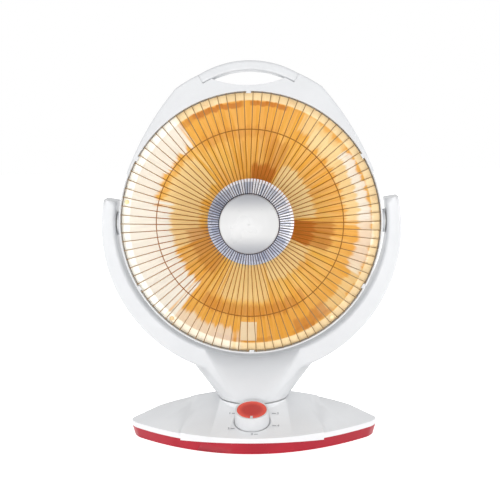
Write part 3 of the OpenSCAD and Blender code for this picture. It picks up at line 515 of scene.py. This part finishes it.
@dataclass(frozen=True)
class PatchEdge:
    """How soft and how ragged the edges of the dish's painted reflection patches are.

    The turning edge is measured in cosines and softens with the patch's width; the inner and outer edges are
    measured in metres.
    """

    least_soft: float = 0.012
    soft_share: float = 0.35
    turn_push: float = 1.6
    turn_from: float = 0.3
    turn_to: float = 1.3
    most_wander: float = 0.008
    inner_part: float = 0.8
    outer_part: float = 0.2

    def mask(self, s: Shader, way: Socket, away: Socket, ragged: Socket, tint: ReflectionPatch) -> Socket:
        """Makes the mask of one patch.

        The mask is the product of two smooth steps in distance and one in the cosine of the angle to the patch's
        middle, each pushed to and fro by streak noise so that its edge is ragged.

        Args:
            s: the material under construction.
            way: the unit way from the axis.
            away: the distance from the axis.
            ragged: noise that moves the edges.
            tint: the patch.

        Returns:
            The mask, from 0 to 1.
        """
        edge = math.cos(math.radians(tint.half_deg))
        soft = max(self.least_soft, (1 - edge) * self.soft_share)
        wander = min(self.most_wander, (tint.outer - tint.inner) / 2)
        turned = s.number("MULTIPLY_ADD", ragged, soft * self.turn_push, s.toward(way, tint.bearing_deg))
        moved = s.number("MULTIPLY_ADD", ragged, wander, away)
        within = s.step(turned, edge + soft * self.turn_from, edge + soft * self.turn_to)
        inside = s.step(moved, tint.inner, tint.inner + wander * self.inner_part)
        outside = s.step(moved, tint.outer + wander, tint.outer + wander * self.outer_part)
        return s.number("MULTIPLY", s.number("MULTIPLY", within, inside), outside)


@dataclass(frozen=True)
class DishGold:
    """Gold-anodised satin dish: orange to pale gold in rays, with painted reflections as pale, darker and near-white
    patches.
    """

    name: str = "finish_dish_gold"
    deep: Colour = (0.96, 0.475, 0.065)
    light: Colour = (1.0, 0.6, 0.115)
    pale: Colour = (1.0, 0.8, 0.41)
    painted_highlight: Colour = (0.99, 0.965, 0.865)
    painted_dark_reflection: Colour = (0.6, 0.2, 0.035)
    rim: Colour = (0.8, 0.6, 0.32)
    outer: Colour = (0.85, 0.4, 0.055)
    hair: Colour = (0.7, 0.27, 0.04)
    streak_part: float = 0.42
    hair_part: float = 0.3
    spun_part: float = 0.32
    outer_part: float = 0.6
    outer_from: float = 0.095
    outer_to: float = 0.135
    flange_from: float = 0.1513
    flange_to: float = 0.1533
    rough: tuple[float, float] = (0.22, 0.34)
    ripple: float = 0.0006
    metallic: float = 0.06
    specular: float = 0.2
    edge: PatchEdge = PatchEdge()
    # Painted reflections: pale, dark and near-white (painted highlight) patches laid into the dish's colour at fixed
    # places, so they stay put when the head or the light moves.
    pale_reflection_patches: tuple[ReflectionPatch, ...] = (
        ReflectionPatch(60.0, 29.0, 0.050, 0.083, 0.95), ReflectionPatch(63.0, 28.0, 0.122, 0.142, 0.75),
        ReflectionPatch(140.0, 25.0, 0.050, 0.083, 0.8), ReflectionPatch(187.0, 19.0, 0.050, 0.104, 0.6),
        ReflectionPatch(285.0, 34.0, 0.068, 0.112, 0.75), ReflectionPatch(128.0, 15.0, 0.140, 0.1510, 0.6),
        ReflectionPatch(40.0, 14.0, 0.128, 0.149, 0.6),
    )
    dark_reflection_patches: tuple[ReflectionPatch, ...] = (
        ReflectionPatch(103.0, 12.0, 0.050, 0.082), ReflectionPatch(101.0, 11.0, 0.078, 0.106, 0.65),
        ReflectionPatch(14.0, 13.0, 0.050, 0.074), ReflectionPatch(20.0, 9.0, 0.072, 0.108, 0.45),
        ReflectionPatch(107.0, 4.0, 0.056, 0.074, 0.7), ReflectionPatch(240.0, 24.0, 0.050, 0.086, 0.5),
        ReflectionPatch(180.0, 32.0, 0.110, 0.123, 0.5), ReflectionPatch(352.0, 26.0, 0.109, 0.121, 0.3),
        ReflectionPatch(149.0, 9.0, 0.138, 0.150, 0.6), ReflectionPatch(343.0, 14.0, 0.1455, 0.1515, 0.85),
        ReflectionPatch(9.0, 9.0, 0.1465, 0.1515, 0.85), ReflectionPatch(327.0, 9.0, 0.1435, 0.1505, 0.45),
        ReflectionPatch(150.0, 12.0, 0.147, 0.1515, 0.4), ReflectionPatch(185.0, 14.0, 0.1475, 0.1515, 0.4),
    )
    painted_highlight_patches: tuple[ReflectionPatch, ...] = (
        ReflectionPatch(252.0, 32.0, 0.106, 0.170), ReflectionPatch(296.0, 28.0, 0.124, 0.170, 0.95),
        ReflectionPatch(72.0, 18.0, 0.138, 0.149, 0.85), ReflectionPatch(205.0, 18.0, 0.140, 0.170, 0.6),
        ReflectionPatch(101.0, 16.0, 0.136, 0.1505, 0.62),
    )

    def make(self) -> bpy.types.Material:
        """Builds the material."""
        s = Shader(self.name)
        broad = s.group(polar_group(), Rays=2.4, Rings=14.0, Seed=3.0, From=0.38, To=0.62)
        fine = s.group(polar_group(), Rays=20.0, Rings=9.0, Seed=11.0, From=0.3, To=0.7)["Mask"]
        hair = s.group(polar_group(), Rays=42.0, Rings=3.0, Seed=21.0, From=0.46, To=0.68)["Mask"]
        spun = s.group(polar_group(), Rays=95.0, Rings=2.0, Seed=33.0, From=0.5, To=0.7)["Mask"]
        away = broad["Distance"]
        colour = s.layer(broad["Mask"], self.deep, self.light)
        for mask, laid, strength in (
                (fine, self.pale, self.streak_part), (hair, self.hair, self.hair_part),
                (spun, self.hair, self.spun_part),
                (s.step(away, self.outer_from, self.outer_to), self.outer, self.outer_part),
                (s.step(away, self.flange_from, self.flange_to), self.rim, 1.0)):
            colour = s.layer(mask, colour, laid, strength)
        way = s.vector("NORMALIZE", s.head_flat())
        # Lays the painted reflections and painted highlights over the dish's colour.
        for tints, laid in ((self.pale_reflection_patches, self.pale), (self.dark_reflection_patches, self.painted_dark_reflection),
                            (self.painted_highlight_patches, self.painted_highlight)):
            for tint in tints:
                colour = s.layer(self.edge.mask(s, way, away, fine, tint), colour, laid, tint.strength)
        return s.surface({
            "Base Color": colour,
            "Roughness": s.between(fine, *self.rough),
            "Normal": s.bump(broad["Mask"], self.ripple),
            "Metallic": self.metallic,
            "Specular IOR Level": self.specular,
        })


@dataclass(frozen=True)
class GuardWire:
    """Plated wire: blue-grey near the middle, warm brown over the dish, paler towards the rim, with fine speckle; the
    changes by radius are partly the wire's own tone and partly painted reflection.
    """

    name: str = "finish_wire_brown"
    warm: Colour = (0.3, 0.1, 0.008)
    cool: Colour = (0.06, 0.064, 0.082)
    pale: Colour = (0.33, 0.235, 0.13)
    worn: Colour = (0.34, 0.16, 0.05)
    turn_from: float = 0.050
    turn_to: float = 0.056
    pale_from: float = 0.105
    pale_to: float = 0.145
    pale_part: float = 0.8
    worn_part: float = 0.12
    rough: tuple[float, float] = (0.42, 0.54)
    grain: float = 1400.0
    height: float = 0.000006

    def make(self) -> bpy.types.Material:
        """Builds the material."""
        s = Shader(self.name)
        polar = s.group(polar_group(), Rays=9.0, Rings=60.0, Seed=2.0)
        away = polar["Distance"]
        # Tone by distance from the axis: partly the wire's own colour and partly painted reflection.
        colour = s.layer(s.step(away, self.turn_from, self.turn_to), self.cool, self.warm)
        colour = s.layer(s.step(away, self.pale_from, self.pale_to), colour, self.pale, self.pale_part)
        return s.surface({
            "Base Color": s.layer(polar["Mask"], colour, self.worn, self.worn_part),
            "Roughness": s.between(polar["Mask"], *self.rough),
            "Normal": s.grain(self.grain, self.height),
            "Specular IOR Level": 0.0,
        })


@dataclass(frozen=True)
class PearlCap:
    """The cap's satin paint, near white across the middle, with painted shade that greys it towards its top and
    bottom edges.
    """

    name: str = "finish_cap_pearl"
    middle: Colour = (0.575, 0.575, 0.575)
    edge: Colour = (0.3, 0.305, 0.33)
    band_from: float = 0.011
    band_to: float = 0.036
    rough: tuple[float, float] = (0.26, 0.34)
    cloud: float = 30.0
    grain: float = 900.0
    height: float = 0.00001

    def make(self) -> bpy.types.Material:
        """Builds the material."""
        s = Shader(self.name)
        # Painted shade: greyer the further above and below the head's axis.
        up = s.number("ABSOLUTE", s.add("SeparateXYZ", {0: s.head_point()}).outputs["Y"])
        return s.surface({
            "Base Color": s.layer(s.step(up, self.band_from, self.band_to), self.middle, self.edge),
            "Roughness": s.between(s.cloud(self.cloud), *self.rough),
            "Normal": s.grain(self.grain, self.height),
        })


@dataclass(frozen=True)
class KnobInsert:
    """The knob's glossy red insert, with painted reflection: deeper towards its middle, lighter at its rim."""

    name: str = "finish_knob_red"
    middle: Colour = (0.54, 0.03, 0.02)
    rim: Colour = (0.84, 0.1, 0.06)
    face_z: float = 0.017
    rim_from: float = 0.009
    rim_to: float = 0.019
    rough: tuple[float, float] = (0.12, 0.2)
    cloud: float = 60.0
    grain: float = 500.0
    height: float = 0.00001
    coat: float = 0.3
    coat_rough: float = 0.1

    def make(self) -> bpy.types.Material:
        """Builds the material."""
        s = Shader(self.name)
        centre = tuple(PANEL.place(np.array([0.0, 0.0, self.face_z])).tolist())
        # Painted reflection: darker middle and lighter rim by the distance from the knob's axis.
        away = s.measure("DISTANCE", s.object_point(), centre)
        return s.surface({
            "Base Color": s.layer(s.step(away, self.rim_from, self.rim_to), self.middle, self.rim),
            "Roughness": s.between(s.cloud(self.cloud), *self.rough),
            "Normal": s.grain(self.grain, self.height),
            "Coat Weight": self.coat,
            "Coat Roughness": self.coat_rough,
        })


@dataclass(frozen=True)
class SpunSilver:
    """Bright spun aluminium with blue-grey rays from the axis, and painted shade on its lower left side."""

    name: str = "finish_spun_silver"
    bright: Colour = (0.96, 0.96, 0.98)
    dark: Colour = (0.4, 0.44, 0.54)
    edge: Colour = (0.9, 0.91, 0.95)
    painted_shade: Colour = (0.2, 0.22, 0.3)
    shade_bearing_deg: float = 215.0
    shade_from: float = -0.6
    shade_to: float = 0.2
    shade_part: float = 0.75
    edge_from: float = 0.0505
    edge_to: float = 0.0511
    rough: tuple[float, float] = (0.34, 0.2)
    grain: float = 1500.0
    height: float = 0.000008

    def make(self) -> bpy.types.Material:
        """Builds the material."""
        s = Shader(self.name)
        rays = s.group(polar_group(), Rays=26.0, Rings=4.0, Seed=5.0, From=0.38, To=0.62)
        colour = s.layer(rays["Mask"], self.dark, self.bright)
        colour = s.layer(s.step(rays["Distance"], self.edge_from, self.edge_to), colour, self.edge)
        # Painted shade: darker towards the lower left of the axis.
        toward = s.toward(s.vector("NORMALIZE", s.head_flat()), self.shade_bearing_deg)
        return s.surface({
            "Base Color": s.layer(s.step(toward, self.shade_from, self.shade_to), colour, self.painted_shade, self.shade_part),
            "Roughness": s.between(rays["Mask"], *self.rough),
            "Normal": s.grain(self.grain, self.height),
            "Metallic": 1.0,
        })


class Finishes:
    """Every finish by its key, made when it is first asked for. Each slot of the record is a key, and a few more."""

    choices = {
        "tray_red": Plastic("finish_tray_red", (0.4, 0.012, 0.028), (0.35, 0.01, 0.024), 0.34, specular=0.25),
        "shell_white": Plastic("finish_shell_white", (0.675, 0.685, 0.7), (0.655, 0.665, 0.68), 0.32),
        # The next two whites are the shell's white made lighter and darker: painted light on the base cover, painted
        # shade on the head's bezel and grip.
        "cover_white": Plastic("finish_cover_white", (0.765, 0.775, 0.79), (0.745, 0.755, 0.77), 0.34),
        "bezel_white": Plastic("finish_bezel_white", (0.625, 0.635, 0.65), (0.605, 0.615, 0.63), 0.34),
        "foot_rubber": Plastic("finish_foot_rubber", (0.03, 0.03, 0.03), (0.05, 0.05, 0.05), 0.75, height=0.00006),
        "cast_weight": Metal("finish_cast_weight", (0.16, 0.16, 0.17), (0.22, 0.2, 0.18), 0.6, height=0.0002,
                             grain=500.0, metallic=0.8),
        "screw_steel": Metal("finish_screw_steel", (0.66, 0.66, 0.67), (0.5, 0.5, 0.52), 0.28),
        "screw_brass": Metal("finish_screw_brass", (0.82, 0.64, 0.38), (0.72, 0.52, 0.28), 0.5, metallic=0.6),
        "motor_steel": Metal("finish_motor_steel", (0.55, 0.56, 0.58), (0.42, 0.43, 0.45), 0.32),
        "switch_black": Plastic("finish_switch_black", (0.045, 0.045, 0.05), (0.06, 0.06, 0.065), 0.5),
        "block_ivory": Plastic("finish_block_ivory", (0.74, 0.71, 0.6), (0.7, 0.66, 0.55), 0.5),
        "knob_red": KnobInsert(),
        "bearing_nylon": Plastic("finish_bearing_nylon", (0.8, 0.78, 0.7), (0.76, 0.73, 0.64), 0.45),
        "lever_steel": Metal("finish_lever_steel", (0.6, 0.6, 0.62), (0.48, 0.48, 0.5), 0.34),
        "crank_brass": Metal("finish_crank_brass", (0.72, 0.5, 0.2), (0.6, 0.4, 0.15), 0.28),
        "dish_gold": DishGold(),
        "deflector_silver": SpunSilver(),
        "cap_pearl": PearlCap(),
        "wire_brown": GuardWire(),
        "rim_wire": Metal("finish_rim_wire", (0.15, 0.135, 0.12), (0.21, 0.19, 0.16), 0.4, metallic=0.4),
        "element_ceramic": Plastic("finish_element_ceramic", (0.82, 0.78, 0.68), (0.75, 0.7, 0.6), 0.7,
                                   height=0.00008),
        "coil_alloy": Metal("finish_coil_alloy", (0.24, 0.21, 0.18), (0.34, 0.27, 0.22), 0.5),
        "clip_steel": Metal("finish_clip_steel", (0.58, 0.58, 0.6), (0.46, 0.46, 0.48), 0.3),
        "mark_grey": Plastic("finish_mark_grey", (0.2, 0.2, 0.22), (0.26, 0.26, 0.28), 0.6),
        "label_pale": Plastic("finish_label_pale", (0.9, 0.72, 0.45), (0.93, 0.78, 0.54), 0.35),
    }
    made: dict[str, bpy.types.Material] = {}

    @classmethod
    def get(cls, name: str) -> bpy.types.Material:
        """Returns the material of a finish.

        Args:
            name: a key of choices.

        Returns:
            The material.
        """
        if name not in cls.made:
            cls.made[name] = cls.choices[name].make()
        return cls.made[name]

    @classmethod
    def dress(cls, piece: bpy.types.Object, name: str) -> bpy.types.Object:
        """Gives a piece one finish in all its slots.

        Args:
            piece: the object to dress.
            name: a key of choices.

        Returns:
            The same object.
        """
        piece.data.materials.clear()
        piece.data.materials.append(cls.get(name))
        return piece


def add_piece(piece: bpy.types.Object, body: Body, finish: str) -> bpy.types.Object:
    """Dresses a piece, hangs it on its body and reports it.

    Args:
        piece: the object, in place.
        body: the body it rides on.
        finish: the finish's key.

    Returns:
        The same object.
    """
    Finishes.dress(piece, finish)
    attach(piece, body.value)
    log.info("%s: %d faces on %s", piece.name, len(piece.data.polygons), body.value)
    return piece


# ---------------------------------------------------------------- sub-assemblies


@dataclass
class Guard:
    """The domed wire guard: radial wires on one sphere, an outer ring and three inner rings behind the wires, the one
    at 36.8 mm a dark wire put in as painted shade round the cap's edge.
    """

    wires: int = 90
    wire_r: float = 0.00054
    thin_r: float = 0.0006
    ring_wire_r: float = 0.0011
    rim_r: float = 0.0006
    ring_r: float = 0.1617
    ring_z: float = 0.02572
    dome_h: float = 0.042
    weld: float = 0.0002
    wire_in_r: float = 0.030
    wire_over: float = 0.0008
    # The ring at 36.8 mm, just outside the cap's edge, is painted shade: a dark line round the cap.
    inner_rings: tuple[tuple[float, int], ...] = ((0.115, 180), (0.0368, 90), (0.0315, 90))
    rim_steps: int = 240
    along: int = 22
    wire_sides: int = 8
    ring_sides: int = 10
    rim_sides: int = 14
    smooth_deg: float = 60.0

    def __post_init__(self) -> None:
        """Works out the sphere of the dome from its ring and height."""
        self.edge_z = self.ring_z + self.ring_wire_r + self.wire_r - self.weld
        self.dome_r = (self.ring_r ** 2 + self.dome_h ** 2) / (2 * self.dome_h)
        self.centre_z = self.edge_z + self.dome_h - self.dome_r

    def height(self, r: float) -> float:
        """Height of the sphere at a distance r from the axis."""
        return self.centre_z + math.sqrt(self.dome_r ** 2 - r ** 2)

    def radial_wires(self) -> np.ndarray:
        """All radial wires: a circle carried along an arc of the sphere, turned to each wire's angle.

        A centre point at angle t from the pole is (R sin t cos a, R sin t sin a, c + R cos t).
        """
        first, last = (math.asin(r / self.dome_r) for r in (self.wire_in_r, self.ring_r + self.wire_over))
        t = np.linspace(first, last, self.along)
        turn = circle(self.wires)
        c, s, rise = np.broadcast_arrays(turn[:, None, 0], turn[:, None, 1], np.cos(t))
        up = np.stack([np.sin(t) * c, np.sin(t) * s, rise], axis=-1)
        side = np.stack([-s, c, np.zeros_like(c)], axis=-1)
        path = self.dome_r * up + np.array([0.0, 0.0, self.centre_z])
        return tube(path, side, up, self.wire_r, self.wire_sides)

    @staticmethod
    def add_ring(surface: Surface, r: float, z: float, section: float, steps: int, sides: int) -> None:
        """Adds one closed ring of round wire.

        The section circle (r + s cos b, z + s sin b) is turned round the head's axis.

        Args:
            surface: the surface that the ring is added to.
            r: the ring's radius.
            z: the height of its middle in the head's frame.
            section: the wire's radius s.
            steps: number of points round the axis.
            sides: number of points round the section.
        """
        ring = revolve(circle(sides) * section + np.array([r, z]), steps)
        surface.add_sheets(HEAD.place(ring)[None], wrap_u=True, wrap_v=True, flip=True)

    def build(self) -> None:
        """Builds, dresses and hangs the wires and the outer ring."""
        surface = Surface()
        surface.add_sheets(HEAD.place(self.radial_wires()), wrap_v=True, cap_u=True)
        behind = self.wire_r + self.thin_r - self.weld
        for r, steps in self.inner_rings:
            self.add_ring(surface, r, self.height(r) - behind, self.thin_r, steps, self.ring_sides)
        piece = surface.build("guard_wires", self.smooth_deg)
        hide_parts("guard")
        add_piece(piece, Body.HEAD, "wire_brown")
        surface = Surface()
        z = self.ring_z + self.ring_wire_r - self.rim_r
        self.add_ring(surface, self.ring_r, z, self.rim_r, self.rim_steps, self.rim_sides)
        rim = surface.build("guard_rim", self.smooth_deg)
        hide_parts("guard")
        add_piece(rim, Body.HEAD, "rim_wire")


@dataclass
class Dish:
    """The parabolic dish and its flange, as one thin sheet."""

    hole_r: float = 0.0224
    edge_r: float = 0.1515
    depth: float = 0.070
    back_z: float = -0.050
    flange_z: float = 0.020
    flange_r: float = 0.1627
    sheet: float = 0.0008
    bend: tuple[tuple[float, float], ...] = ((0.0003, 0.0004), (0.0008, 0.0007), (0.0014, 0.0008))
    along: int = 48
    steps: int = 180
    smooth_deg: float = 50.0

    def height(self, r: np.ndarray) -> np.ndarray:
        """Height of the paraboloid at a distance r from the axis: it grows with the square of r."""
        return self.back_z + self.depth * (r / self.edge_r) ** 2

    def profile(self) -> np.ndarray:
        """The sheet's closed section: the parabola up to the edge, then a rounded bend and a flat."""
        r = np.linspace(self.hole_r, self.edge_r, self.along)
        front = np.stack([r, self.height(r)], axis=-1)
        bend = np.array([self.edge_r, self.flange_z]) + np.array(self.bend)
        rim = np.array([[self.flange_r, self.flange_z + self.sheet], [self.flange_r, self.flange_z],
                        [self.edge_r + self.sheet, self.flange_z]])
        back = front[::-1] - np.array([0.0, self.sheet])
        return np.concatenate([front, bend, rim, back])

    def build(self) -> None:
        """Builds the dish."""
        surface = Surface()
        surface.add_sheets(HEAD.place(revolve(self.profile(), self.steps))[None], wrap_u=True, wrap_v=True)
        piece = surface.build("dish_sheet", self.smooth_deg)
        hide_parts("reflector")
        add_piece(piece, Body.HEAD, "dish_gold")


@dataclass
class Label:
    """A bare pale label on the dish's lower part, with no print, bent to the dish."""

    half_w: float = 0.0103
    middle: float = -0.0045
    low_r: float = 0.1290
    high_r: float = 0.1500
    face_lift: float = 0.0003
    back_lift: float = 0.00006
    across: int = 9
    along: int = 13
    smooth_deg: float = 40.0
    dish: Dish = field(default_factory=Dish)

    def build(self) -> None:
        """Builds the label: a grid over x and the distance from the axis, once for its face and once for its back."""
        x = self.middle + np.linspace(-self.half_w, self.half_w, self.across)
        r = np.linspace(self.low_r, self.high_r, self.along)
        xx, rr = np.meshgrid(x, r, indexing="ij")
        grid = np.stack([xx, -np.sqrt(rr ** 2 - xx ** 2), self.dish.height(rr)], axis=-1)
        surface = Surface()
        for lift, flip in ((self.face_lift, True), (self.back_lift, False)):
            surface.add_sheets(HEAD.place(grid + np.array([0.0, 0.0, lift]))[None], flip=flip)
        piece = surface.build("blank_label", self.smooth_deg)
        add_piece(piece, Body.HEAD, "label_pale")


@dataclass
class Deflector:
    """The silver deflector behind the cap: a shallow cone with shallow flutes."""

    flutes: int = 90
    flute_depth: float = 0.00022
    outer_r: float = 0.0548
    inner_r: float = 0.0020
    flat_r: float = 0.0220
    top_z: float = 0.0213
    drop: float = 0.0129
    thick: float = 0.00135
    rows: int = 12
    flute_steps: int = 4
    smooth_deg: float = 50.0

    def build(self) -> None:
        """Builds the deflector: a profile turned round the axis, whose cone rises and falls with the angle.

        The height at distance r and angle a is the cone's height plus the flute depth times cos(n a), faded in and
        out along the cone.
        """
        angle = np.linspace(0, 2 * math.pi, self.flutes * self.flute_steps, endpoint=False)[:, None]
        r = np.concatenate([[self.inner_r], np.linspace(self.flat_r, self.outer_r, self.rows)])[None]
        slope = np.clip((r - self.flat_r) / (self.outer_r - self.flat_r), 0, 1)
        flute = self.flute_depth * np.cos(self.flutes * angle) * np.sqrt(np.sin(math.pi * slope))
        front = np.stack([r * np.cos(angle), r * np.sin(angle), self.top_z - self.drop * slope + flute], axis=-1)
        back = front[:, ::-1] - np.array([0.0, 0.0, self.thick])
        surface = Surface()
        surface.add_sheets(HEAD.place(np.concatenate([front, back], axis=1))[None], wrap_u=True, wrap_v=True)
        piece = surface.build("deflector_cone", self.smooth_deg)
        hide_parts("deflector")
        add_piece(piece, Body.HEAD, "deflector_silver")


@dataclass(frozen=True)
class Skin:
    """One smooth skin: the CAD node under it, its body, its finish and the record's material slot."""

    node: str
    body: Body
    finish: str
    slot: str
    smooth_deg: float


@dataclass
class Shells:
    """The moulded shells, each under a smooth skin, and the CAD nodes that show as they are."""

    skins: tuple[Skin, ...] = (
        Skin("yoke_front", Body.YOKE, "shell_white", "shell_white", 24.0),
        Skin("yoke_back", Body.YOKE, "shell_white", "shell_white", 24.0),
        # The base cover takes a lighter copy of the shell's white: painted light.
        Skin("base_cover", Body.BASE, "cover_white", "shell_white", 16.0),
        Skin("base_tray", Body.BASE, "tray_red", "tray_red", 24.0),
    )
    # The bezel and grip take a darker copy of the shell's white: painted shade.
    own_finish: dict[str, str] = field(default_factory=lambda: {
        "guard_cap": "cap_pearl", "head_bezel": "bezel_white", "handle_grip": "bezel_white",
    })

    def build(self) -> None:
        """Makes every skin."""
        for skin in self.skins:
            piece = skin_of(skin.node, skin.node + "_skin", skin.smooth_deg)
            add_piece(piece, skin.body, skin.finish)

    def dress_nodes(self) -> None:
        """Gives each CAD node that still shows its own finish, or else its slot's."""
        for name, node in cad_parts.items():
            if node.hide_render:
                continue
            slot = node.data.materials[0].name.split(".")[0]
            finish = self.own_finish.get(name, slot)
            for place in node.material_slots:
                place.material = Finishes.get(finish)


@dataclass(frozen=True)
class Mark:
    """One printed mark: a number at a place on the panel, with its dash on the side of the knob."""

    number: str
    x: float
    y: float
    dash: float


@dataclass
class DialMarks:
    """Small plain numbers with a dash each, printed round the knob."""

    type_size: float = 0.00567
    dash_l: float = 0.0048
    dash_w: float = 0.0009
    half_thick: float = 0.00004
    lift: float = 0.00012
    along: int = 6
    marks: tuple[Mark, ...] = (
        Mark("1", -0.0282, 0.0165, 0.0050), Mark("2", 0.0320, 0.0160, -0.0050), Mark("3", -0.0285, -0.0155, 0.0050),
        Mark("4", 0.0325, -0.0100, -0.0050), Mark("0", 0.0005, -0.0275, 0.0048),
    )

    def letter(self, text: str) -> bpy.types.Mesh:
        """Makes one number as a flat mesh, centred on its own origin."""
        curve = bpy.data.curves.new("mark", "FONT")
        curve.body = text
        curve.size = self.type_size
        curve.align_x, curve.align_y = "CENTER", "CENTER"
        curve.extrude = self.half_thick
        drawn = bpy.data.objects.new("mark", curve)
        bpy.context.scene.collection.objects.link(drawn)
        mesh = bpy.data.meshes.new_from_object(drawn.evaluated_get(bpy.context.evaluated_depsgraph_get()))
        bpy.data.objects.remove(drawn)
        return mesh

    def dash(self, mark: Mark) -> np.ndarray:
        """The dash beside a number: a closed flat band (its section a thin rectangle) carried along x."""
        x = np.linspace(-self.dash_l / 2, self.dash_l / 2, self.along)[:, None] + mark.x + mark.dash
        corners = np.array([[-1, -1], [1, -1], [1, 1], [-1, 1]]) * np.array([self.dash_w / 2, self.half_thick])
        grid = np.broadcast_arrays(x, corners[:, 0] + mark.y, corners[:, 1] + self.lift)
        return PANEL.place(np.stack(grid, axis=-1))

    def build(self) -> None:
        """Builds all marks as one mesh: flat numbers made a mesh, each with a dash, laid on the panel."""
        surface = Surface()
        surface.add_sheets(np.stack([self.dash(mark) for mark in self.marks]), wrap_v=True, cap_u=True)
        piece = surface.build("dial_marks")
        joined = bmesh.new()
        joined.from_mesh(piece.data)
        for mark in self.marks:
            mesh = self.letter(mark.number)
            co = np.zeros(len(mesh.vertices) * 3)
            mesh.vertices.foreach_get("co", co)
            co = co.reshape(-1, 3) + np.array([mark.x, mark.y, self.lift])
            mesh.vertices.foreach_set("co", PANEL.place(co).ravel())
            joined.from_mesh(mesh)
            bpy.data.meshes.remove(mesh)
        joined.to_mesh(piece.data)
        joined.free()
        add_piece(piece, Body.BASE, "mark_grey")


# ---------------------------------------------------------------- studio


@dataclass(frozen=True)
class Softbox:
    """One rectangular area light that faces a point."""

    name: str
    place: tuple[float, float, float]
    size: tuple[float, float]
    power: float
    aim: tuple[float, float, float] = (0.0, 0.0, 0.25)

    def build(self) -> None:
        """Makes the light."""
        data = bpy.data.lights.new(self.name, "AREA")
        data.shape = "RECTANGLE"
        data.size, data.size_y = self.size
        data.energy = self.power
        lamp = bpy.data.objects.new(self.name, data)
        lamp.location = self.place
        lamp.rotation_euler = (Vector(self.aim) - Vector(self.place)).to_track_quat("-Z", "Y").to_euler()
        bpy.context.scene.collection.objects.link(lamp)


@dataclass
class Studio:
    """A plain pale floor, a soft white surround and softboxes left, right and in front."""

    boxes: tuple[Softbox, ...] = (
        Softbox("softbox_left", (-1.6, -0.60, 0.35), (0.6, 1.0), 6.0),
        Softbox("softbox_right", (1.6, -0.50, 0.45), (0.9, 1.5), 10.0),
        Softbox("softbox_front", (-0.2, -2.4, 0.28), (1.8, 0.5), 18.0),
    )
    reach: float = 6.0
    floor_dark: Colour = (0.9, 0.9, 0.9)
    floor_light: Colour = (0.94, 0.94, 0.94)
    floor_shown: float = 1.0
    floor_lit: float = 0.2
    fill: float = 0.72
    mirrored: float = 1.0
    overhead: float = 0.95
    rise_from: float = 0.15
    rise_to: float = 0.9

    def floor(self) -> None:
        """Lays the floor: one large flat sheet, which glows less as a light than it shows."""
        ends = np.array([-self.reach, self.reach])
        surface = Surface()
        surface.add_sheets(np.stack(np.meshgrid(ends, ends, 0.0, indexing="ij"), axis=-1).reshape(1, 2, 2, 3))
        piece = surface.build("studio_floor")
        shade = Shader("studio_floor")
        tone = shade.group(grain_group(), Scale=60.0, Height=0.0002)["Mask"]
        seen = shade.add("LightPath").outputs["Is Diffuse Ray"]
        piece.data.materials.append(shade.surface({
            "Base Color": shade.layer(tone, self.floor_dark, self.floor_light),
            "Roughness": 0.9,
            "Specular IOR Level": 0.0,
            "Emission Color": (1.0, 1.0, 1.0),
            "Emission Strength": shade.between(seen, self.floor_shown, self.floor_lit),
        }))

    def surround(self) -> None:
        """Sets the world: white to the camera and in mirrors, softer as a light, darker overhead."""
        world = bpy.data.worlds.new("studio_surround")
        bpy.context.scene.world = world
        world.use_nodes = True
        sky = Wiring(world.node_tree)
        up = sky.add("SeparateXYZ", {0: sky.add("TexCoord").outputs["Generated"]}).outputs["Z"]
        rise = sky.between(sky.step(up, self.rise_from, self.rise_to), 1.0, self.overhead)
        ray = sky.add("LightPath").outputs
        soft = sky.between(ray["Is Diffuse Ray"], self.mirrored, self.fill)
        level = sky.number("MAXIMUM", sky.number("MULTIPLY", rise, soft), ray["Is Camera Ray"])
        background = world.node_tree.nodes["Background"].inputs
        sky.feed(background["Strength"], level)
        sky.feed(background["Color"], (1.0, 1.0, 1.0))

    def build(self) -> None:
        """Builds the floor, the surround and the lights."""
        self.floor()
        self.surround()
        for box in self.boxes:
            box.build()
        scene = bpy.context.scene
        scene.view_settings.view_transform = "Standard"
        scene.view_settings.look = "None"
        scene.view_settings.exposure = 0.0


@dataclass
class Camera:
    """The camera at the photograph's viewing angle."""

    distance: float = 1.25
    height: float = 0.4077
    azimuth_deg: float = 1.94
    pitch_deg: float = 7.13
    roll_deg: float = -0.84
    lens: float = 70.95
    sensor: float = 36.0
    far: float = 50.0
    shift: tuple[float, float] = (-0.0025, -0.02)

    def build(self) -> None:
        """Makes the camera and makes it the scene's own."""
        data = bpy.data.cameras.new("camera")
        data.lens = self.lens
        data.sensor_width = self.sensor
        data.shift_x, data.shift_y = self.shift
        data.clip_end = self.far
        made = bpy.data.objects.new("camera", data)
        azimuth = math.radians(self.azimuth_deg)
        turn = (Matrix.Rotation(azimuth, 4, "Z") @ Matrix.Rotation(math.radians(90 - self.pitch_deg), 4, "X")
                @ Matrix.Rotation(math.radians(self.roll_deg), 4, "Z"))
        place = Matrix.Translation((
            self.distance * math.sin(azimuth), HEAD.y - self.distance * math.cos(azimuth), self.height))
        made.matrix_world = place @ turn
        bpy.context.scene.collection.objects.link(made)
        bpy.context.scene.camera = made


def main() -> None:
    """Builds every sub-assembly in order, then the studio."""
    logging.basicConfig(level=logging.INFO, format="%(name)s %(message)s")
    shells = Shells()
    for part in (shells, Guard(), Dish(), Label(), Deflector(), DialMarks()):
        part.build()
    shells.dress_nodes()
    Studio().build()
    Camera().build()


if __name__ == "__main__":
    main()
